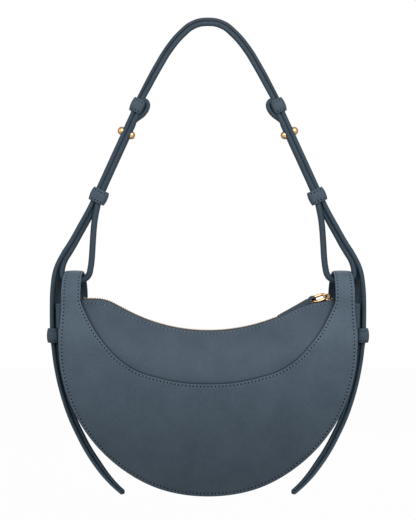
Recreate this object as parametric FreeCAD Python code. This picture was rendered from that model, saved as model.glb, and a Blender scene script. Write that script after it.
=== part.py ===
import FreeCAD, Part
import math
import os

os.makedirs("parts", exist_ok=True)
Vec = FreeCAD.Vector

# All lengths are millimetres. The origin is the underside of the strap at the top of its arc,
# +X is the wearer's right in the photograph, +Y goes away from the viewer and +Z is up.

# Leather stock and shared clearances
leather = 2.0
lining_thick = 0.8
layer_gap = 0.2
soft_gap = 0.35
running_gap = 0.05

# Half moon outline of the bag
outline_radius = 146.3
outline_z = -318.2
edge_half_depth = 33.0
belly_bulge = 10.0
horn_arch_radius = 28.6
horn_base_z = -273.6
horn_inset = 2.3
horn_width = 19.8
horn_outer_x = outline_radius - horn_inset
horn_inner_x = horn_outer_x - horn_width
back_horn_overhang = 11.7
back_horn_outer_x = outline_radius + back_horn_overhang
back_horn_top_z = -255.2
facing_thick = 0.9
skin_margin = 9.0
skin_step = 15.0
inset_step = 7.0

# Curved inner edge of the front panel: distance in from the horn, and height
crescent_low_z = -354.9
crescent_points = [(76.4, -349.2), (45.2, -337.0), (21.5, -314.1), (4.7, -288.0)]

# Gusset between the panels
gusset_inset = 3.0
gusset_bulge = 6.2
gusset_top_z = -277.6
gusset_tab_height = 24.0

# Zip
zip_radius = 220.0
zip_left_radius = 175.0
zip_low_z = -305.3
zip_center_z = zip_low_z + zip_radius
zip_left_center_z = zip_low_z + zip_left_radius
zip_shoulder_radius = 34.0
zip_shoulder_reach = 33.0
zip_left_margin = 21.3
zip_right_margin = 20.3
zip_turn_rise = 26.2
zip_end_rise = 40.0


def rise_x(rise, radius):
    # How far from the middle an arc of the zip has risen by that much.
    return math.sqrt(radius ** 2 - (radius - rise) ** 2)


zip_left_reach = rise_x(zip_turn_rise, zip_left_radius) + zip_shoulder_reach
zip_left_end_x = -min(outline_radius - zip_left_margin, zip_left_reach)
zip_left_turn_x = zip_left_end_x + zip_shoulder_reach
zip_right_end_x = min(outline_radius - zip_right_margin, rise_x(zip_end_rise, zip_radius))
tooth_pitch = 2.5
tooth_height = 2.5
tooth_reach = 2.4
tape_width = 8.6
tape_fall = 2.0
tape_thick = 0.8
tape_start = 0.9
mouth_half = 11.0
mouth_drop = 50.0
mouth_fall = 0.4
lining_fall = 6.0

# Zip slider, ring and leather pull
slider_setback = 9.5
slider_x = zip_right_end_x - slider_setback
slider_length = 11.0
slider_width = 7.2
slider_plate = 0.8
slider_inner = 3.0
bail_height = 7.7
bail_thick = 1.6
bail_width = 2.2
ring_height = 4.75
ring_length = 15.0
ring_width = 12.5
ring_wire = 1.8
ring_lean = 22.0
ring_tilt = 25.0
pull_length = 40.0
pull_width = 5.5
pull_thick = 2.6
pull_tilt = 25.5
pull_eye = 1.9

# Shoulder strap, laid flat side to side
strap_width = 10.0
strap_thick = 4.8
strap_twist = 40.0
top_arc_radius = 37.5
top_arc_angle = 47.0
shoulder_arc_radius = 150.0
shoulder_arc_angle = 62.0
shoulder_run = 25.0
easing_radius = 400.0
run_angle = 65.8
drop_gap = 9.1
drop_x = outline_radius + drop_gap
drop_bend_radius = 62.0
fork_z = -178.0
tail_gap = 7.2
tail_radius = outline_radius + tail_gap
fork_strap_bend = 120.0
tail_turn = 28.0
tail_end_radius = 350.0
tail_end_turn = 43.3
tail_thick = 4.2

# Rolled horn straps
roll_radius = 2.7
roll_offset = 5.25
roll_depth = 2.95
hinge_z = -252.6
inner_fork_z = -183.5
inner_corner_gap = 5.3
outer_corner_gap = 9.6
inner_corner_x = horn_inner_x - inner_corner_gap
outer_corner_x = horn_outer_x + outer_corner_gap
inner_bend = 10.0
outer_bend = 7.5
fork_bend = 60.0

# Keepers and studs
keeper_wall = 1.6
upper_keeper_z = -79.0
upper_keeper_length = 14.5
upper_keeper_across = 12.6
lower_keeper_z = -169.9
lower_keeper_length = 14.0
lower_keeper_across = 15.4
side_keeper_rise = 16.1
side_keeper_top_z = outline_z + side_keeper_rise
side_keeper_length = 14.6
side_keeper_across = 10.0
side_keeper_wall = 2.2
stud_z = -107.0
stud_ball_radius = 4.0
stud_post_radius = 1.5
end_fold_thick = 3.2
end_fold_width = 9.0


def clamp(value, low, high):
    return max(low, min(high, value))


def horn_rise(z):
    share = clamp((z - outline_z) / (horn_base_z - outline_z), 0.0, 1.0)
    return share * share * (3.0 - 2.0 * share)


def panel_y(x, z):
    # Outer face of the front panel: its edge stands off the gusset and its belly swells forward.
    rise = horn_rise(z)
    half = edge_half_depth + (horn_arch_radius - edge_half_depth) * rise
    drop = max(outline_z - z, 0.0)
    spread = (x * x + drop * drop) / outline_radius ** 2
    return -(half + belly_bulge * (1.0 - rise) * (1.0 - spread))


def shoulder_center(turn_x):
    angle = math.asin(turn_x / zip_left_radius)
    reach = zip_left_radius + zip_shoulder_radius
    return reach * math.sin(angle), zip_left_center_z - reach * math.cos(angle)


def mouth_z(x):
    # Height of the mouth line: a sagging arc, which rolls over into a shoulder beside the left horn.
    if x >= 0:
        return zip_center_z - math.sqrt(zip_radius ** 2 - x ** 2)
    if x >= zip_left_turn_x:
        return zip_left_center_z - math.sqrt(zip_left_radius ** 2 - x ** 2)
    center_x, center_z = shoulder_center(zip_left_turn_x)
    return center_z + math.sqrt(max(zip_shoulder_radius ** 2 - (x - center_x) ** 2, 0.0))


def upper_y(x, z):
    # Outer face of the inset panel: it leans back from behind the front panel to the zip.
    share = clamp((mouth_z(clamp(x, zip_left_end_x, zip_right_end_x)) - z) / mouth_drop, 0.0, 1.0)
    full = -panel_y(x, z) - leather - layer_gap
    return -(mouth_half + (full - mouth_half) * (1.0 - (1.0 - share) ** 2))


def surface(height, low_x, high_x, low_z, high_z, step):
    across = int(round((high_x - low_x) / step))
    up = int(round((high_z - low_z) / step))
    grid = []
    for i in range(across + 1):
        x = low_x + (high_x - low_x) * i / across
        row = []
        for k in range(up + 1):
            z = low_z + (high_z - low_z) * k / up
            row.append(Vec(x, height(x, z), z))
        grid.append(row)
    skin = Part.BSplineSurface()
    skin.interpolate(grid)
    return skin.toShape()


def flat_region(edges):
    return Part.Face(Part.Wire(Part.__sortEdges__(edges)))


def sheet(skin, region, thick):
    # A sheet of even thickness cut to a flat outline seen from the front.
    prism = region.copy()
    reach = edge_half_depth + 2 * belly_bulge
    prism.translate(Vec(0, -reach, 0))
    cut = skin.common(prism.extrude(Vec(0, 2 * reach, 0)))
    return cut.Faces[0].extrude(Vec(0, thick, 0))


def line(a, b):
    return Part.LineSegment(a, b).toShape()


def arc(a, b, c):
    return Part.Arc(a, b, c).toShape()


def front_point(x, z):
    return Vec(x, 0, z)


def spline(points):
    curve = Part.BSplineCurve()
    curve.interpolate(points)
    return curve.toShape()


def crescent_edge():
    right = [front_point(horn_inner_x - inset, z) for inset, z in crescent_points]
    right.append(front_point(horn_inner_x, horn_base_z))
    left = [Vec(-p.x, 0, p.z) for p in reversed(right)]
    return spline(left + [front_point(0, crescent_low_z)] + right)


def front_region():
    r = outline_radius
    low = outline_z
    edges = [crescent_edge()]
    edges.append(arc(front_point(r, low), front_point(0, low - r), front_point(-r, low)))
    for side in (-1, 1):
        top = front_point(side * horn_outer_x, horn_base_z)
        edges.append(line(front_point(side * r, low), top))
        edges.append(line(top, front_point(side * horn_inner_x, horn_base_z)))
    return flat_region(edges)


def back_region():
    r = outline_radius
    low = outline_z
    edges = [crescent_edge()]
    edges.append(arc(front_point(r, low), front_point(0, low - r), front_point(-r, low)))
    for side in (-1, 1):
        shoulder = front_point(side * back_horn_outer_x, gusset_top_z)
        top = front_point(side * back_horn_outer_x, horn_base_z)
        edges.append(line(front_point(side * r, low), shoulder))
        edges.append(line(shoulder, top))
        edges.append(line(top, front_point(side * horn_inner_x, horn_base_z)))
    return flat_region(edges)


def mouth_edge(end_x, drop):
    # The mouth line set in by an even distance, out to that far on both sides.
    low = front_point(0, zip_low_z - drop)
    r = zip_radius + drop
    half = 0.5 * end_x
    right = front_point(end_x, zip_center_z - math.sqrt(r * r - end_x * end_x))
    middle = front_point(half, zip_center_z - math.sqrt(r * r - half * half))
    edges = [arc(low, middle, right)]
    r = zip_left_radius + drop
    turn = math.asin(zip_left_turn_x / zip_left_radius)
    bend = front_point(r * math.sin(turn), zip_left_center_z - r * math.cos(turn))
    middle = front_point(r * math.sin(0.5 * turn), zip_left_center_z - r * math.cos(0.5 * turn))
    edges.append(arc(low, middle, bend))
    center_x, center_z = shoulder_center(zip_left_turn_x)
    r = zip_shoulder_radius - drop
    left = front_point(-end_x, center_z + math.sqrt(r * r - (end_x + center_x) ** 2))
    edges.append(arc(bend, front_point(center_x, center_z + r), left))
    return edges, left, right


def upper_region():
    # The inset panel runs a seam's width down behind the front panel's curved edge.
    seam = 14.0
    edges, left, right = mouth_edge(abs(zip_left_end_x), mouth_fall)
    low_z = crescent_low_z - seam
    hip_z = crescent_points[2][1] - 4.0
    left_hip = front_point(left.x, hip_z)
    right_hip = front_point(right.x, hip_z)
    edges.append(line(left, left_hip))
    edges.append(line(right, right_hip))
    edges.append(arc(left_hip, front_point(0, low_z), right_hip))
    return flat_region(edges)


def lining_region():
    end_x = abs(zip_left_end_x) - 2.0
    inner_r = outline_radius - gusset_inset - gusset_bulge
    edges, left, right = mouth_edge(end_x, lining_fall)
    edges.append(arc(front_point(inner_r, outline_z), front_point(0, outline_z - inner_r),
                     front_point(-inner_r, outline_z)))
    edges.append(line(left, front_point(-inner_r, outline_z)))
    edges.append(line(right, front_point(inner_r, outline_z)))
    return flat_region(edges)


def mirrored_y(shape):
    return shape.mirror(Vec(0, 0, 0), Vec(0, 1, 0))


def mirrored_x(shape):
    return shape.mirror(Vec(0, 0, 0), Vec(1, 0, 0))


def gusset_section(edge_x, crown_x, half, thick, z):
    outer = arc(Vec(edge_x, -half, z), Vec(crown_x, 0, z), Vec(edge_x, half, z))
    inner = arc(Vec(edge_x - thick, -half, z), Vec(crown_x - thick, 0, z), Vec(edge_x - thick, half, z))
    ends = [line(Vec(edge_x, s * half, z), Vec(edge_x - thick, s * half, z)) for s in (-1, 1)]
    return Part.Wire(Part.__sortEdges__([outer, inner] + ends))


def gusset_half(z):
    edge = edge_half_depth + (horn_arch_radius - edge_half_depth) * horn_rise(z)
    return edge - leather - layer_gap


def gusset_crown(z):
    lift = clamp((z - outline_z) / (gusset_top_z - outline_z), 0.0, 1.0)
    return outline_radius - gusset_inset + gusset_bulge + lift


def gusset_strip(step, thick, top_z):
    # A strip swept round the half moon, then up each side to the hem.
    edge_x = outline_radius - gusset_inset - step
    low = gusset_section(edge_x, gusset_crown(outline_z) - step, gusset_half(outline_z), thick, outline_z)
    bowl = Part.Face(low).revolve(Vec(0, 0, outline_z), Vec(0, 1, 0), 180)
    top = gusset_section(edge_x, gusset_crown(top_z) - step, gusset_half(top_z), thick, top_z)
    side = Part.makeLoft([low, top], True, True)
    return bowl.fuse([side, mirrored_x(side)]).removeSplitter()


def gusset_tab():
    # The turned hem at the top of the gusset, a second layer laid on its outside.
    half = gusset_half(gusset_top_z) - 3.0
    hem = 1.2
    share = gusset_half(gusset_top_z) / gusset_half(outline_z)
    sections = []
    for z in (gusset_top_z - gusset_tab_height, gusset_top_z):
        level = clamp((z - outline_z) / (gusset_top_z - outline_z), 0.0, 1.0)
        wide = gusset_half(outline_z) * (1.0 + (share - 1.0) * level)
        crown = gusset_crown(z)
        sag = crown - (outline_radius - gusset_inset)
        r = (wide * wide + sag * sag) / (2.0 * sag)
        edge = crown - r + math.sqrt(r * r - half * half)
        lift = layer_gap + hem
        sections.append(gusset_section(edge + lift + 0.1, crown + lift, half, hem, z))
    return Part.makeLoft(sections, True, True)


def arch(outer_r, thick, inner_x, outer_x):
    side = 2 * outer_r
    box = Part.makeBox(outer_x - inner_x, 2 * side, side, Vec(inner_x, -side, horn_base_z))
    axis = Vec(1, 0, 0)
    base = Vec(inner_x, 0, horn_base_z)
    ring = Part.makeCylinder(outer_r, outer_x - inner_x, base, axis)
    ring = ring.cut(Part.makeCylinder(outer_r - thick, outer_x - inner_x, base, axis))
    return ring.common(box)


def back_wing():
    # The outer part of the back horn stands up beside the arch, behind the strap.
    height = back_horn_top_z - horn_base_z
    width = back_horn_outer_x - horn_outer_x - layer_gap
    start = Vec(horn_outer_x + layer_gap, horn_arch_radius - leather, horn_base_z)
    return Part.makeBox(width, leather, height, start)


def path(points, radii):
    # Straight runs joined by tangent arcs.
    edges = []
    last = points[0]
    for i in range(1, len(points) - 1):
        before = (points[i - 1] - points[i]).normalize()
        after = (points[i + 1] - points[i]).normalize()
        half = 0.5 * before.getAngle(after)
        reach = radii[i - 1] / math.tan(half)
        start = points[i] + before * reach
        end = points[i] + after * reach
        toward = (before + after).normalize()
        middle = points[i] + toward * (radii[i - 1] / math.sin(half) - radii[i - 1])
        edges.append(line(last, start))
        edges.append(arc(start, middle, end))
        last = end
    edges.append(line(last, points[-1]))
    print("bend radii", radii)
    return Part.Wire(edges)


def stadium(center, along, over, width, thick):
    # Strap section: a flat band with rounded edges.
    half = 0.5 * (width - thick)
    r = 0.5 * thick
    a = center + along * half
    b = center - along * half
    edges = [line(b + over * r, a + over * r), arc(a + over * r, a + along * r, a - over * r)]
    edges.append(line(a - over * r, b - over * r))
    edges.append(arc(b - over * r, b - along * r, b + over * r))
    return Part.Wire(edges)


def swept(wire, section):
    return wire.makePipeShell([section], True, False)


def turned(point, turn, radius, sweep):
    # End point of an arc that starts at point, with its direction turned from straight across.
    a = math.radians(turn)
    b = math.radians(turn + sweep)
    step = Vec(math.sin(b) - math.sin(a), 0, math.cos(b) - math.cos(a))
    return point + step * radius


apex = Vec(0, 0, 0.5 * (strap_thick + (strap_width - strap_thick) * math.sin(math.radians(strap_twist))))
arc_end = turned(apex, 0, top_arc_radius, top_arc_angle)
shoulder_end = turned(arc_end, top_arc_angle, shoulder_arc_radius, shoulder_arc_angle - top_arc_angle)
run_dir = Vec(math.cos(math.radians(run_angle)), 0, -math.sin(math.radians(run_angle)))
run_out = Vec(math.sin(math.radians(run_angle)), 0, math.cos(math.radians(run_angle)))
slope = math.radians(shoulder_arc_angle)
easing_start = shoulder_end + Vec(math.cos(slope), 0, -math.sin(slope)) * shoulder_run
run_start = turned(easing_start, shoulder_arc_angle, easing_radius, run_angle - shoulder_arc_angle)


def run_point(z):
    return run_start + run_dir * ((run_start.z - z) / -run_dir.z)


def strap_arc(start, turn, radius, sweep):
    end = turned(start, turn, radius, sweep)
    return arc(start, turned(start, turn, radius, 0.5 * sweep), end)


def strap_top():
    edges = [strap_arc(apex, 0, top_arc_radius, top_arc_angle)]
    edges.append(strap_arc(arc_end, top_arc_angle, shoulder_arc_radius, shoulder_arc_angle - top_arc_angle))
    edges.append(line(shoulder_end, easing_start))
    ease = run_angle - shoulder_arc_angle
    edges.append(strap_arc(easing_start, shoulder_arc_angle, easing_radius, 0.7 * ease))
    twist = math.radians(strap_twist)
    along = Vec(0, math.cos(twist), math.sin(twist))
    over = Vec(0, -math.sin(twist), math.cos(twist))
    half = swept(Part.Wire(edges), stadium(apex, along, over, strap_width, strap_thick))
    return half.fuse(mirrored_x(half)).removeSplitter()


def fork_corner():
    return run_point(fork_z)


def wedge_above():
    # Removes all but a pointed end at the swing axis, so that the strap can fold there.
    gap = 0.4
    tip = hinge_z + gap
    reach = 2 * strap_width
    low = 2 * tip
    x = 0.25 * drop_x
    pts = [Vec(x, -reach, tip + reach), Vec(x, 0, tip), Vec(x, reach, tip + reach)]
    pts += [Vec(x, reach, low), Vec(x, -reach, low), Vec(x, -reach, tip + reach)]
    return Part.Face(Part.makePolygon(pts)).extrude(Vec(drop_x, 0, 0))


def strap_side():
    # One length from the upper keeper to the side keeper, later parted at the swing axis.
    start = run_point(run_start.z + 3.0)
    low = side_keeper_top_z - side_keeper_length
    end = Vec(drop_x, 0, low)
    fork = fork_corner()
    slant = (fork.x - drop_x) / math.tan(math.radians(32.0))
    knee = Vec(drop_x, 0, fork.z + slant)
    wire = path([start, fork, knee, end], [fork_strap_bend, drop_bend_radius])
    return swept(wire, stadium(start, Vec(0, 1, 0), run_out, strap_width, strap_thick))


def stud_frame():
    return run_point(stud_z)


def stud_holes(shape):
    point = stud_frame()
    outer = point + run_out * 2.9
    inner = point - run_out * 7.4
    post = Part.makeCylinder(stud_post_radius + running_gap, 30, point - run_out * 15, run_out)
    balls = [Part.makeSphere(stud_ball_radius + layer_gap, p) for p in (outer, inner)]
    return shape.cut([post] + balls)


def strap_run():
    return stud_holes(strap_side().cut(wedge_above()))


def strap_drop():
    flip = wedge_above().mirror(Vec(0, 0, hinge_z), Vec(0, 0, 1))
    return strap_side().cut(flip)


def strap_tail():
    # The free end below the side keeper, with a round top to turn on.
    r = 0.5 * tail_thick
    low = side_keeper_top_z - side_keeper_length - layer_gap - r
    start = Vec(drop_x, 0, low)
    edges = []
    for center, radius, turns in tail_arcs(start):
        points = []
        for turn in turns:
            a = math.radians(turn)
            points.append(center + Vec(radius * math.cos(a), 0, -radius * math.sin(a)))
        edges.append(arc(*points))
    section = stadium(start, Vec(0, 1, 0), Vec(1, 0, 0), strap_width, tail_thick)
    tail = swept(Part.Wire(edges), section)
    outside = Part.makeBox(strap_width, 2 * strap_width, 2, start - Vec(0, strap_width, 1))
    dome = Part.Face(section).common(outside).Faces[0].revolve(start, Vec(0, -1, 0), 180)
    return tail.fuse(dome).removeSplitter()


def tail_arcs(start):
    # Two arcs in a row: centre, radius and the turn at start, middle and end.
    first = start - Vec(tail_radius, 0, 0)
    a = math.radians(tail_turn)
    step = tail_end_radius - tail_radius
    second = first - Vec(step * math.cos(a), 0, -step * math.sin(a))
    return [(first, tail_radius, (0, 0.5 * tail_turn, tail_turn)),
            (second, tail_end_radius, (tail_turn, 0.5 * (tail_turn + tail_end_turn), tail_end_turn))]


def horn_strap():
    # A rolled strap: down the inside, through the horn arch and back up behind.
    side_in = run_out * roll_offset
    top = run_point(run_start.z - 12.0) - side_in + Vec(0, -roll_depth, 0)
    fork = run_point(inner_fork_z) - side_in + Vec(0, -roll_depth, 0)
    inner = Vec(inner_corner_x, 0, hinge_z)
    outer = Vec(outer_corner_x, 0, hinge_z)
    back = fork_corner() - side_in + Vec(0, roll_depth, 0)
    back_top = run_point(stud_z + 12.0) - side_in + Vec(0, roll_depth, 0)
    bends = [fork_bend, inner_bend, outer_bend, fork_strap_bend]
    wire = path([top, fork, inner, outer, back, back_top], bends)
    section = Part.Wire(Part.makeCircle(roll_radius, top, run_dir))
    return stud_holes(swept(wire, section))


def block(center, long_dir, length, out_dir, across, deep):
    # A box with its length along one direction and its depth along Y.
    y = Vec(0, 1, 0)
    corner = center - long_dir * (0.5 * length) - out_dir * (0.5 * across) - y * (0.5 * deep)
    a = corner + out_dir * across
    face = Part.Face(Part.makePolygon([corner, a, a + y * deep, corner + y * deep, corner]))
    return face.extrude(long_dir * length)


def sleeve(center, long_dir, length, out_dir, across, deep, wall):
    body = block(center, long_dir, length, out_dir, across, deep)
    edges = []
    for edge in body.Edges:
        tangent = edge.tangentAt(edge.FirstParameter)
        if abs(tangent.dot(long_dir)) > 0.99:
            edges.append(edge)
    body = body.makeFillet(2.4, edges)
    return body.cut(block(center, long_dir, length + 2, out_dir, across - 2 * wall, deep - 2 * wall))


def upper_keeper():
    center = run_point(upper_keeper_z) + run_out * 0.25
    deep = strap_width + 2 * keeper_wall + 2 * soft_gap
    return sleeve(center, run_dir, upper_keeper_length, run_out, upper_keeper_across, deep, keeper_wall)


def lower_keeper():
    inside = lower_keeper_across - 2 * keeper_wall
    shift = 0.5 * strap_thick + soft_gap - 0.5 * inside
    center = run_point(lower_keeper_z) + run_out * shift
    deep = 2 * (roll_depth + roll_radius + soft_gap + keeper_wall)
    return sleeve(center, run_dir, lower_keeper_length, run_out, lower_keeper_across, deep, keeper_wall)


def side_keeper():
    center = Vec(drop_x, 0, side_keeper_top_z - 0.5 * side_keeper_length)
    deep = strap_width + 2 * side_keeper_wall + 2 * soft_gap
    down = Vec(0, 0, -1)
    return sleeve(center, down, side_keeper_length, Vec(1, 0, 0), side_keeper_across, deep, side_keeper_wall)


def strap_end():
    # The pared end of the rolled strap, folded up over the upper keeper's inner wall.
    wall = 0.5 * upper_keeper_across - 0.25
    r = 0.5 * end_fold_thick
    base = run_point(upper_keeper_z)
    side_in = run_out * -1.0
    low = base + run_dir * 16.5 + side_in * (roll_offset + 0.2)
    knee = base + run_dir * 8.5 + side_in * (wall + r + 1.6)
    crown = base + run_dir * -9.0 + side_in * (wall + r + 0.6)
    tuck = base + run_dir * -10.5 + side_in * (4.2 + r)
    wire = path([low, knee, crown, tuck], [9.0, 2.2])
    along = Vec(0, 1, 0)
    start_dir = (knee - low).normalize()
    over = start_dir.cross(along)
    fold = swept(wire, stadium(low, along, over, end_fold_width, end_fold_thick))
    return fold.cut([horn_strap(), upper_keeper(), strap_top(), strap_run()])


def stud_base():
    point = stud_frame()
    ball = Part.makeSphere(stud_ball_radius, point + run_out * 2.9)
    post = Part.makeCylinder(stud_post_radius, 9.4, point + run_out * 2.0, run_out * -1.0)
    return ball.fuse(post).removeSplitter()


def stud_cap():
    point = stud_frame()
    ball = Part.makeSphere(stud_ball_radius, point - run_out * 7.4)
    hole = Part.makeCylinder(stud_post_radius + running_gap, 9.6, point + run_out * 2.0, run_out * -1.0)
    return ball.cut(hole)


def zip_angle(x):
    return math.asin(x / zip_radius)


def tape_section(side, x, z, out):
    # Section of one tape at a point of the zip, with out pointing to the outside of the bag.
    inner = Vec(x, side * tape_start, z)
    outer = Vec(x, side * tape_width, z) - out * tape_fall
    step = out * (0.5 * tape_thick)
    return Part.Face(Part.makePolygon([inner + step, outer + step, outer - step, inner - step, inner + step]))


def zip_tape(side):
    # The right arc and the left one, which meet in the middle, and the left shoulder.
    high = zip_angle(zip_right_end_x)
    out = Vec(-math.sin(high), 0, math.cos(high))
    face = tape_section(side, zip_right_end_x, mouth_z(zip_right_end_x), out)
    right = face.revolve(Vec(0, 0, zip_center_z), Vec(0, 1, 0), math.degrees(high))
    low = math.asin(zip_left_turn_x / zip_left_radius)
    face = tape_section(side, 0, zip_low_z, Vec(0, 0, 1))
    left = face.revolve(Vec(0, 0, zip_left_center_z), Vec(0, 1, 0), math.degrees(-low))
    center_x, center_z = shoulder_center(zip_left_turn_x)
    out = Vec(-math.sin(low), 0, math.cos(low))
    face = tape_section(side, zip_left_turn_x, mouth_z(zip_left_turn_x), out)
    sweep = math.degrees(-low - math.asin((zip_left_end_x - center_x) / zip_shoulder_radius))
    shoulder = face.revolve(Vec(center_x, 0, center_z), Vec(0, 1, 0), -sweep)
    return right.fuse([left, shoulder]).removeSplitter()


def zip_stations():
    # Places of the teeth along the zip: distance along it, with its point and slope.
    low = math.asin(zip_left_turn_x / zip_left_radius)
    high = zip_angle(zip_right_end_x)
    center_x, center_z = shoulder_center(zip_left_turn_x)
    end = math.asin((zip_left_end_x - center_x) / zip_shoulder_radius)
    bend = (-low - end) * zip_shoulder_radius
    middle = bend - low * zip_left_radius
    total = middle + high * zip_radius
    found = []
    for i in range(int((total - 4.0) / (0.5 * tooth_pitch))):
        run = 2.0 + i * 0.5 * tooth_pitch
        if run < bend:
            a = end + run / zip_shoulder_radius
            point = Vec(center_x, 0, center_z) + Vec(math.sin(a), 0, math.cos(a)) * zip_shoulder_radius
            found.append((i, point, -a))
        elif run < middle:
            a = low + (run - bend) / zip_left_radius
            point = Vec(0, 0, zip_left_center_z) + Vec(math.sin(a), 0, -math.cos(a)) * zip_left_radius
            found.append((i, point, a))
        else:
            a = (run - middle) / zip_radius
            point = Vec(0, 0, zip_center_z) + Vec(math.sin(a), 0, -math.cos(a)) * zip_radius
            found.append((i, point, a))
    return found


def placed(shape, point, angle):
    shape.rotate(Vec(0, 0, 0), Vec(0, 1, 0), -math.degrees(angle))
    shape.translate(point)
    return shape


def slider_post_center():
    a = zip_angle(slider_x)
    return slider_origin() + Vec(math.cos(a), 0, math.sin(a)) * 3.0


def zip_teeth(side):
    # Teeth of one side sit between those of the other, and none where the slider's post stands.
    teeth = []
    post = slider_post_center()
    row = 0 if side < 0 else 1
    for i, point, angle in zip_stations():
        if i % 2 == row and point.distanceToPoint(post) > 2.9:
            y = -tooth_reach if side < 0 else -tooth_reach + 1.6
            length = 2 * tooth_reach - 1.6
            tooth = Part.makeBox(0.9, length, tooth_height, Vec(-0.45, y, -0.5 * tooth_height))
            slot_start = Vec(-1.0, -0.95 + side * 1.5, -0.5 * tape_thick - 0.5)
            slot = Part.makeBox(2.0, 1.9, tape_thick + 0.6, slot_start)
            teeth.append(placed(tooth.cut(slot), point, angle))
    return Part.makeCompound(teeth)


def zip_stops():
    stops = []
    for i, point, angle in (zip_stations()[0], zip_stations()[-1]):
        shift = Vec(math.cos(angle), 0, math.sin(angle)) * (-1.9 if i == 0 else 1.9)
        over = Part.makeBox(1.8, 5.0, 1.2, Vec(-0.9, -2.5, 0.5 * tape_thick + 0.05))
        stops.append(placed(over, point + shift, angle))
    return Part.makeCompound(stops)


def slider_origin():
    a = zip_angle(slider_x)
    return Vec(slider_x, 0, zip_center_z - zip_radius * math.cos(a))


def bail_point():
    a = zip_angle(slider_x)
    return slider_origin() + Vec(-math.sin(a), 0, math.cos(a)) * ring_height


def zip_slider():
    half = 0.5 * slider_length
    wide = 0.5 * slider_width
    gap = 0.5 * slider_inner
    low = gap + 0.7
    top = Part.makeBox(slider_length, slider_width, slider_plate, Vec(-half, -wide, gap))
    under_start = Vec(-half, -wide + 0.5, -low - slider_plate)
    under = Part.makeBox(slider_length, slider_width - 1.0, slider_plate, under_start)
    post = Part.makeBox(1.6, 1.4, gap + low + 0.2, Vec(2.2, -0.7, -low - 0.1))
    lug = Part.makeBox(9.8, bail_width, bail_height - gap - 0.2, Vec(-4.9, -0.5 * bail_width, gap + 0.2))
    tops = [e for e in lug.Edges if e.BoundBox.ZMin > bail_height - 0.1 and e.BoundBox.XLength < 0.1]
    lug = lug.makeFillet(3.0, tops)
    hole_low = gap + slider_plate
    hole = Part.makeBox(6.6, 6, bail_height - bail_thick - hole_low, Vec(-3.3, -3, hole_low))
    top_z = bail_height - bail_thick
    tops = [e for e in hole.Edges if e.BoundBox.ZMin > top_z - 0.1 and e.BoundBox.XLength < 0.1]
    hole = hole.makeFillet(1.6, tops)
    body = top.fuse([under, post, lug.cut(hole)]).removeSplitter()
    return placed(body, slider_origin(), zip_angle(slider_x))


def pull_ring():
    # An oval wire ring, its right end through the slider's bail.
    r = 0.5 * (ring_width - ring_wire)
    flat = ring_length - ring_width
    a = Vec(-r, 0, 0)
    b = Vec(-r - flat, 0, 0)
    edges = [arc(a + Vec(0, -r, 0), a + Vec(r, 0, 0), a + Vec(0, r, 0))]
    edges.append(line(a + Vec(0, r, 0), b + Vec(0, r, 0)))
    edges.append(arc(b + Vec(0, r, 0), b + Vec(-r, 0, 0), b + Vec(0, -r, 0)))
    edges.append(line(b + Vec(0, -r, 0), a + Vec(0, -r, 0)))
    wire = Part.Wire(edges)
    section = Part.Wire(Part.makeCircle(0.5 * ring_wire, a + Vec(0, -r, 0), Vec(1, 0, 0)))
    ring = swept(wire, section)
    ring.rotate(Vec(0, 0, 0), Vec(1, 0, 0), ring_lean)
    return placed(ring, bail_point(), math.radians(ring_tilt))


def pull_point():
    a = math.radians(ring_tilt)
    return bail_point() - Vec(math.cos(a), 0, math.sin(a)) * (ring_length - ring_wire - 0.25)


def pull_tab():
    # A leather tongue doubled over the left end of the ring.
    outer = pull_eye + 1.2
    wide = Vec(0, pull_width, 0)
    base = Vec(0, -0.5 * pull_width, 0)
    eye = Part.makeCylinder(outer, pull_width, base, Vec(0, 1, 0))
    tongue_start = base - Vec(pull_length, 0, 0.5 * pull_thick)
    tongue = Part.makeBox(pull_length, pull_width, pull_thick, tongue_start)
    ends = [e for e in tongue.Edges if e.BoundBox.XMax < 0.1 - pull_length and e.BoundBox.ZLength > 1.0]
    tongue = tongue.makeFillet(0.5 * pull_width - 0.05, ends)
    neck_x = -outer * 1.9
    pts = [Vec(neck_x, 0, 0.5 * pull_thick)]
    pts += [Vec(-outer * 0.4, 0, outer * 0.9), Vec(-outer * 0.4, 0, -outer * 0.9)]
    pts += [Vec(neck_x, 0, -0.5 * pull_thick), pts[0]]
    neck = Part.Face(Part.makePolygon([p + base for p in pts])).extrude(wide)
    body = eye.fuse([tongue, neck]).removeSplitter()
    body = body.cut(Part.makeCylinder(pull_eye, pull_width + 2, base - Vec(0, 1, 0), Vec(0, 1, 0)))
    body.rotate(Vec(0, 0, 0), Vec(1, 0, 0), ring_lean)
    return placed(body, pull_point(), math.radians(pull_tilt))


def save(name, shape):
    solids = shape.Solids
    print(name, len(solids), "solid", shape.isValid(), [round(v, 1) for v in (
        shape.BoundBox.XMin, shape.BoundBox.XMax, shape.BoundBox.YMin, shape.BoundBox.YMax,
        shape.BoundBox.ZMin, shape.BoundBox.ZMax)])
    shape.exportStep("parts/" + name + ".step")


def save_pair(name, right):
    save(name + "_right", right)
    save(name + "_left", mirrored_x(right))


low_z = outline_z - outline_radius - skin_margin
wide = back_horn_outer_x + skin_margin
panel_skin = surface(panel_y, -wide, wide, low_z, horn_base_z + leather, skin_step)
wide = outline_radius + 0.5 * skin_margin
upper_skin = surface(upper_y, -wide, wide, low_z, horn_base_z + horn_width, inset_step)
lining_skin = upper_skin.copy()
lining_skin.translate(Vec(0, leather + layer_gap, 0))

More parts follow.
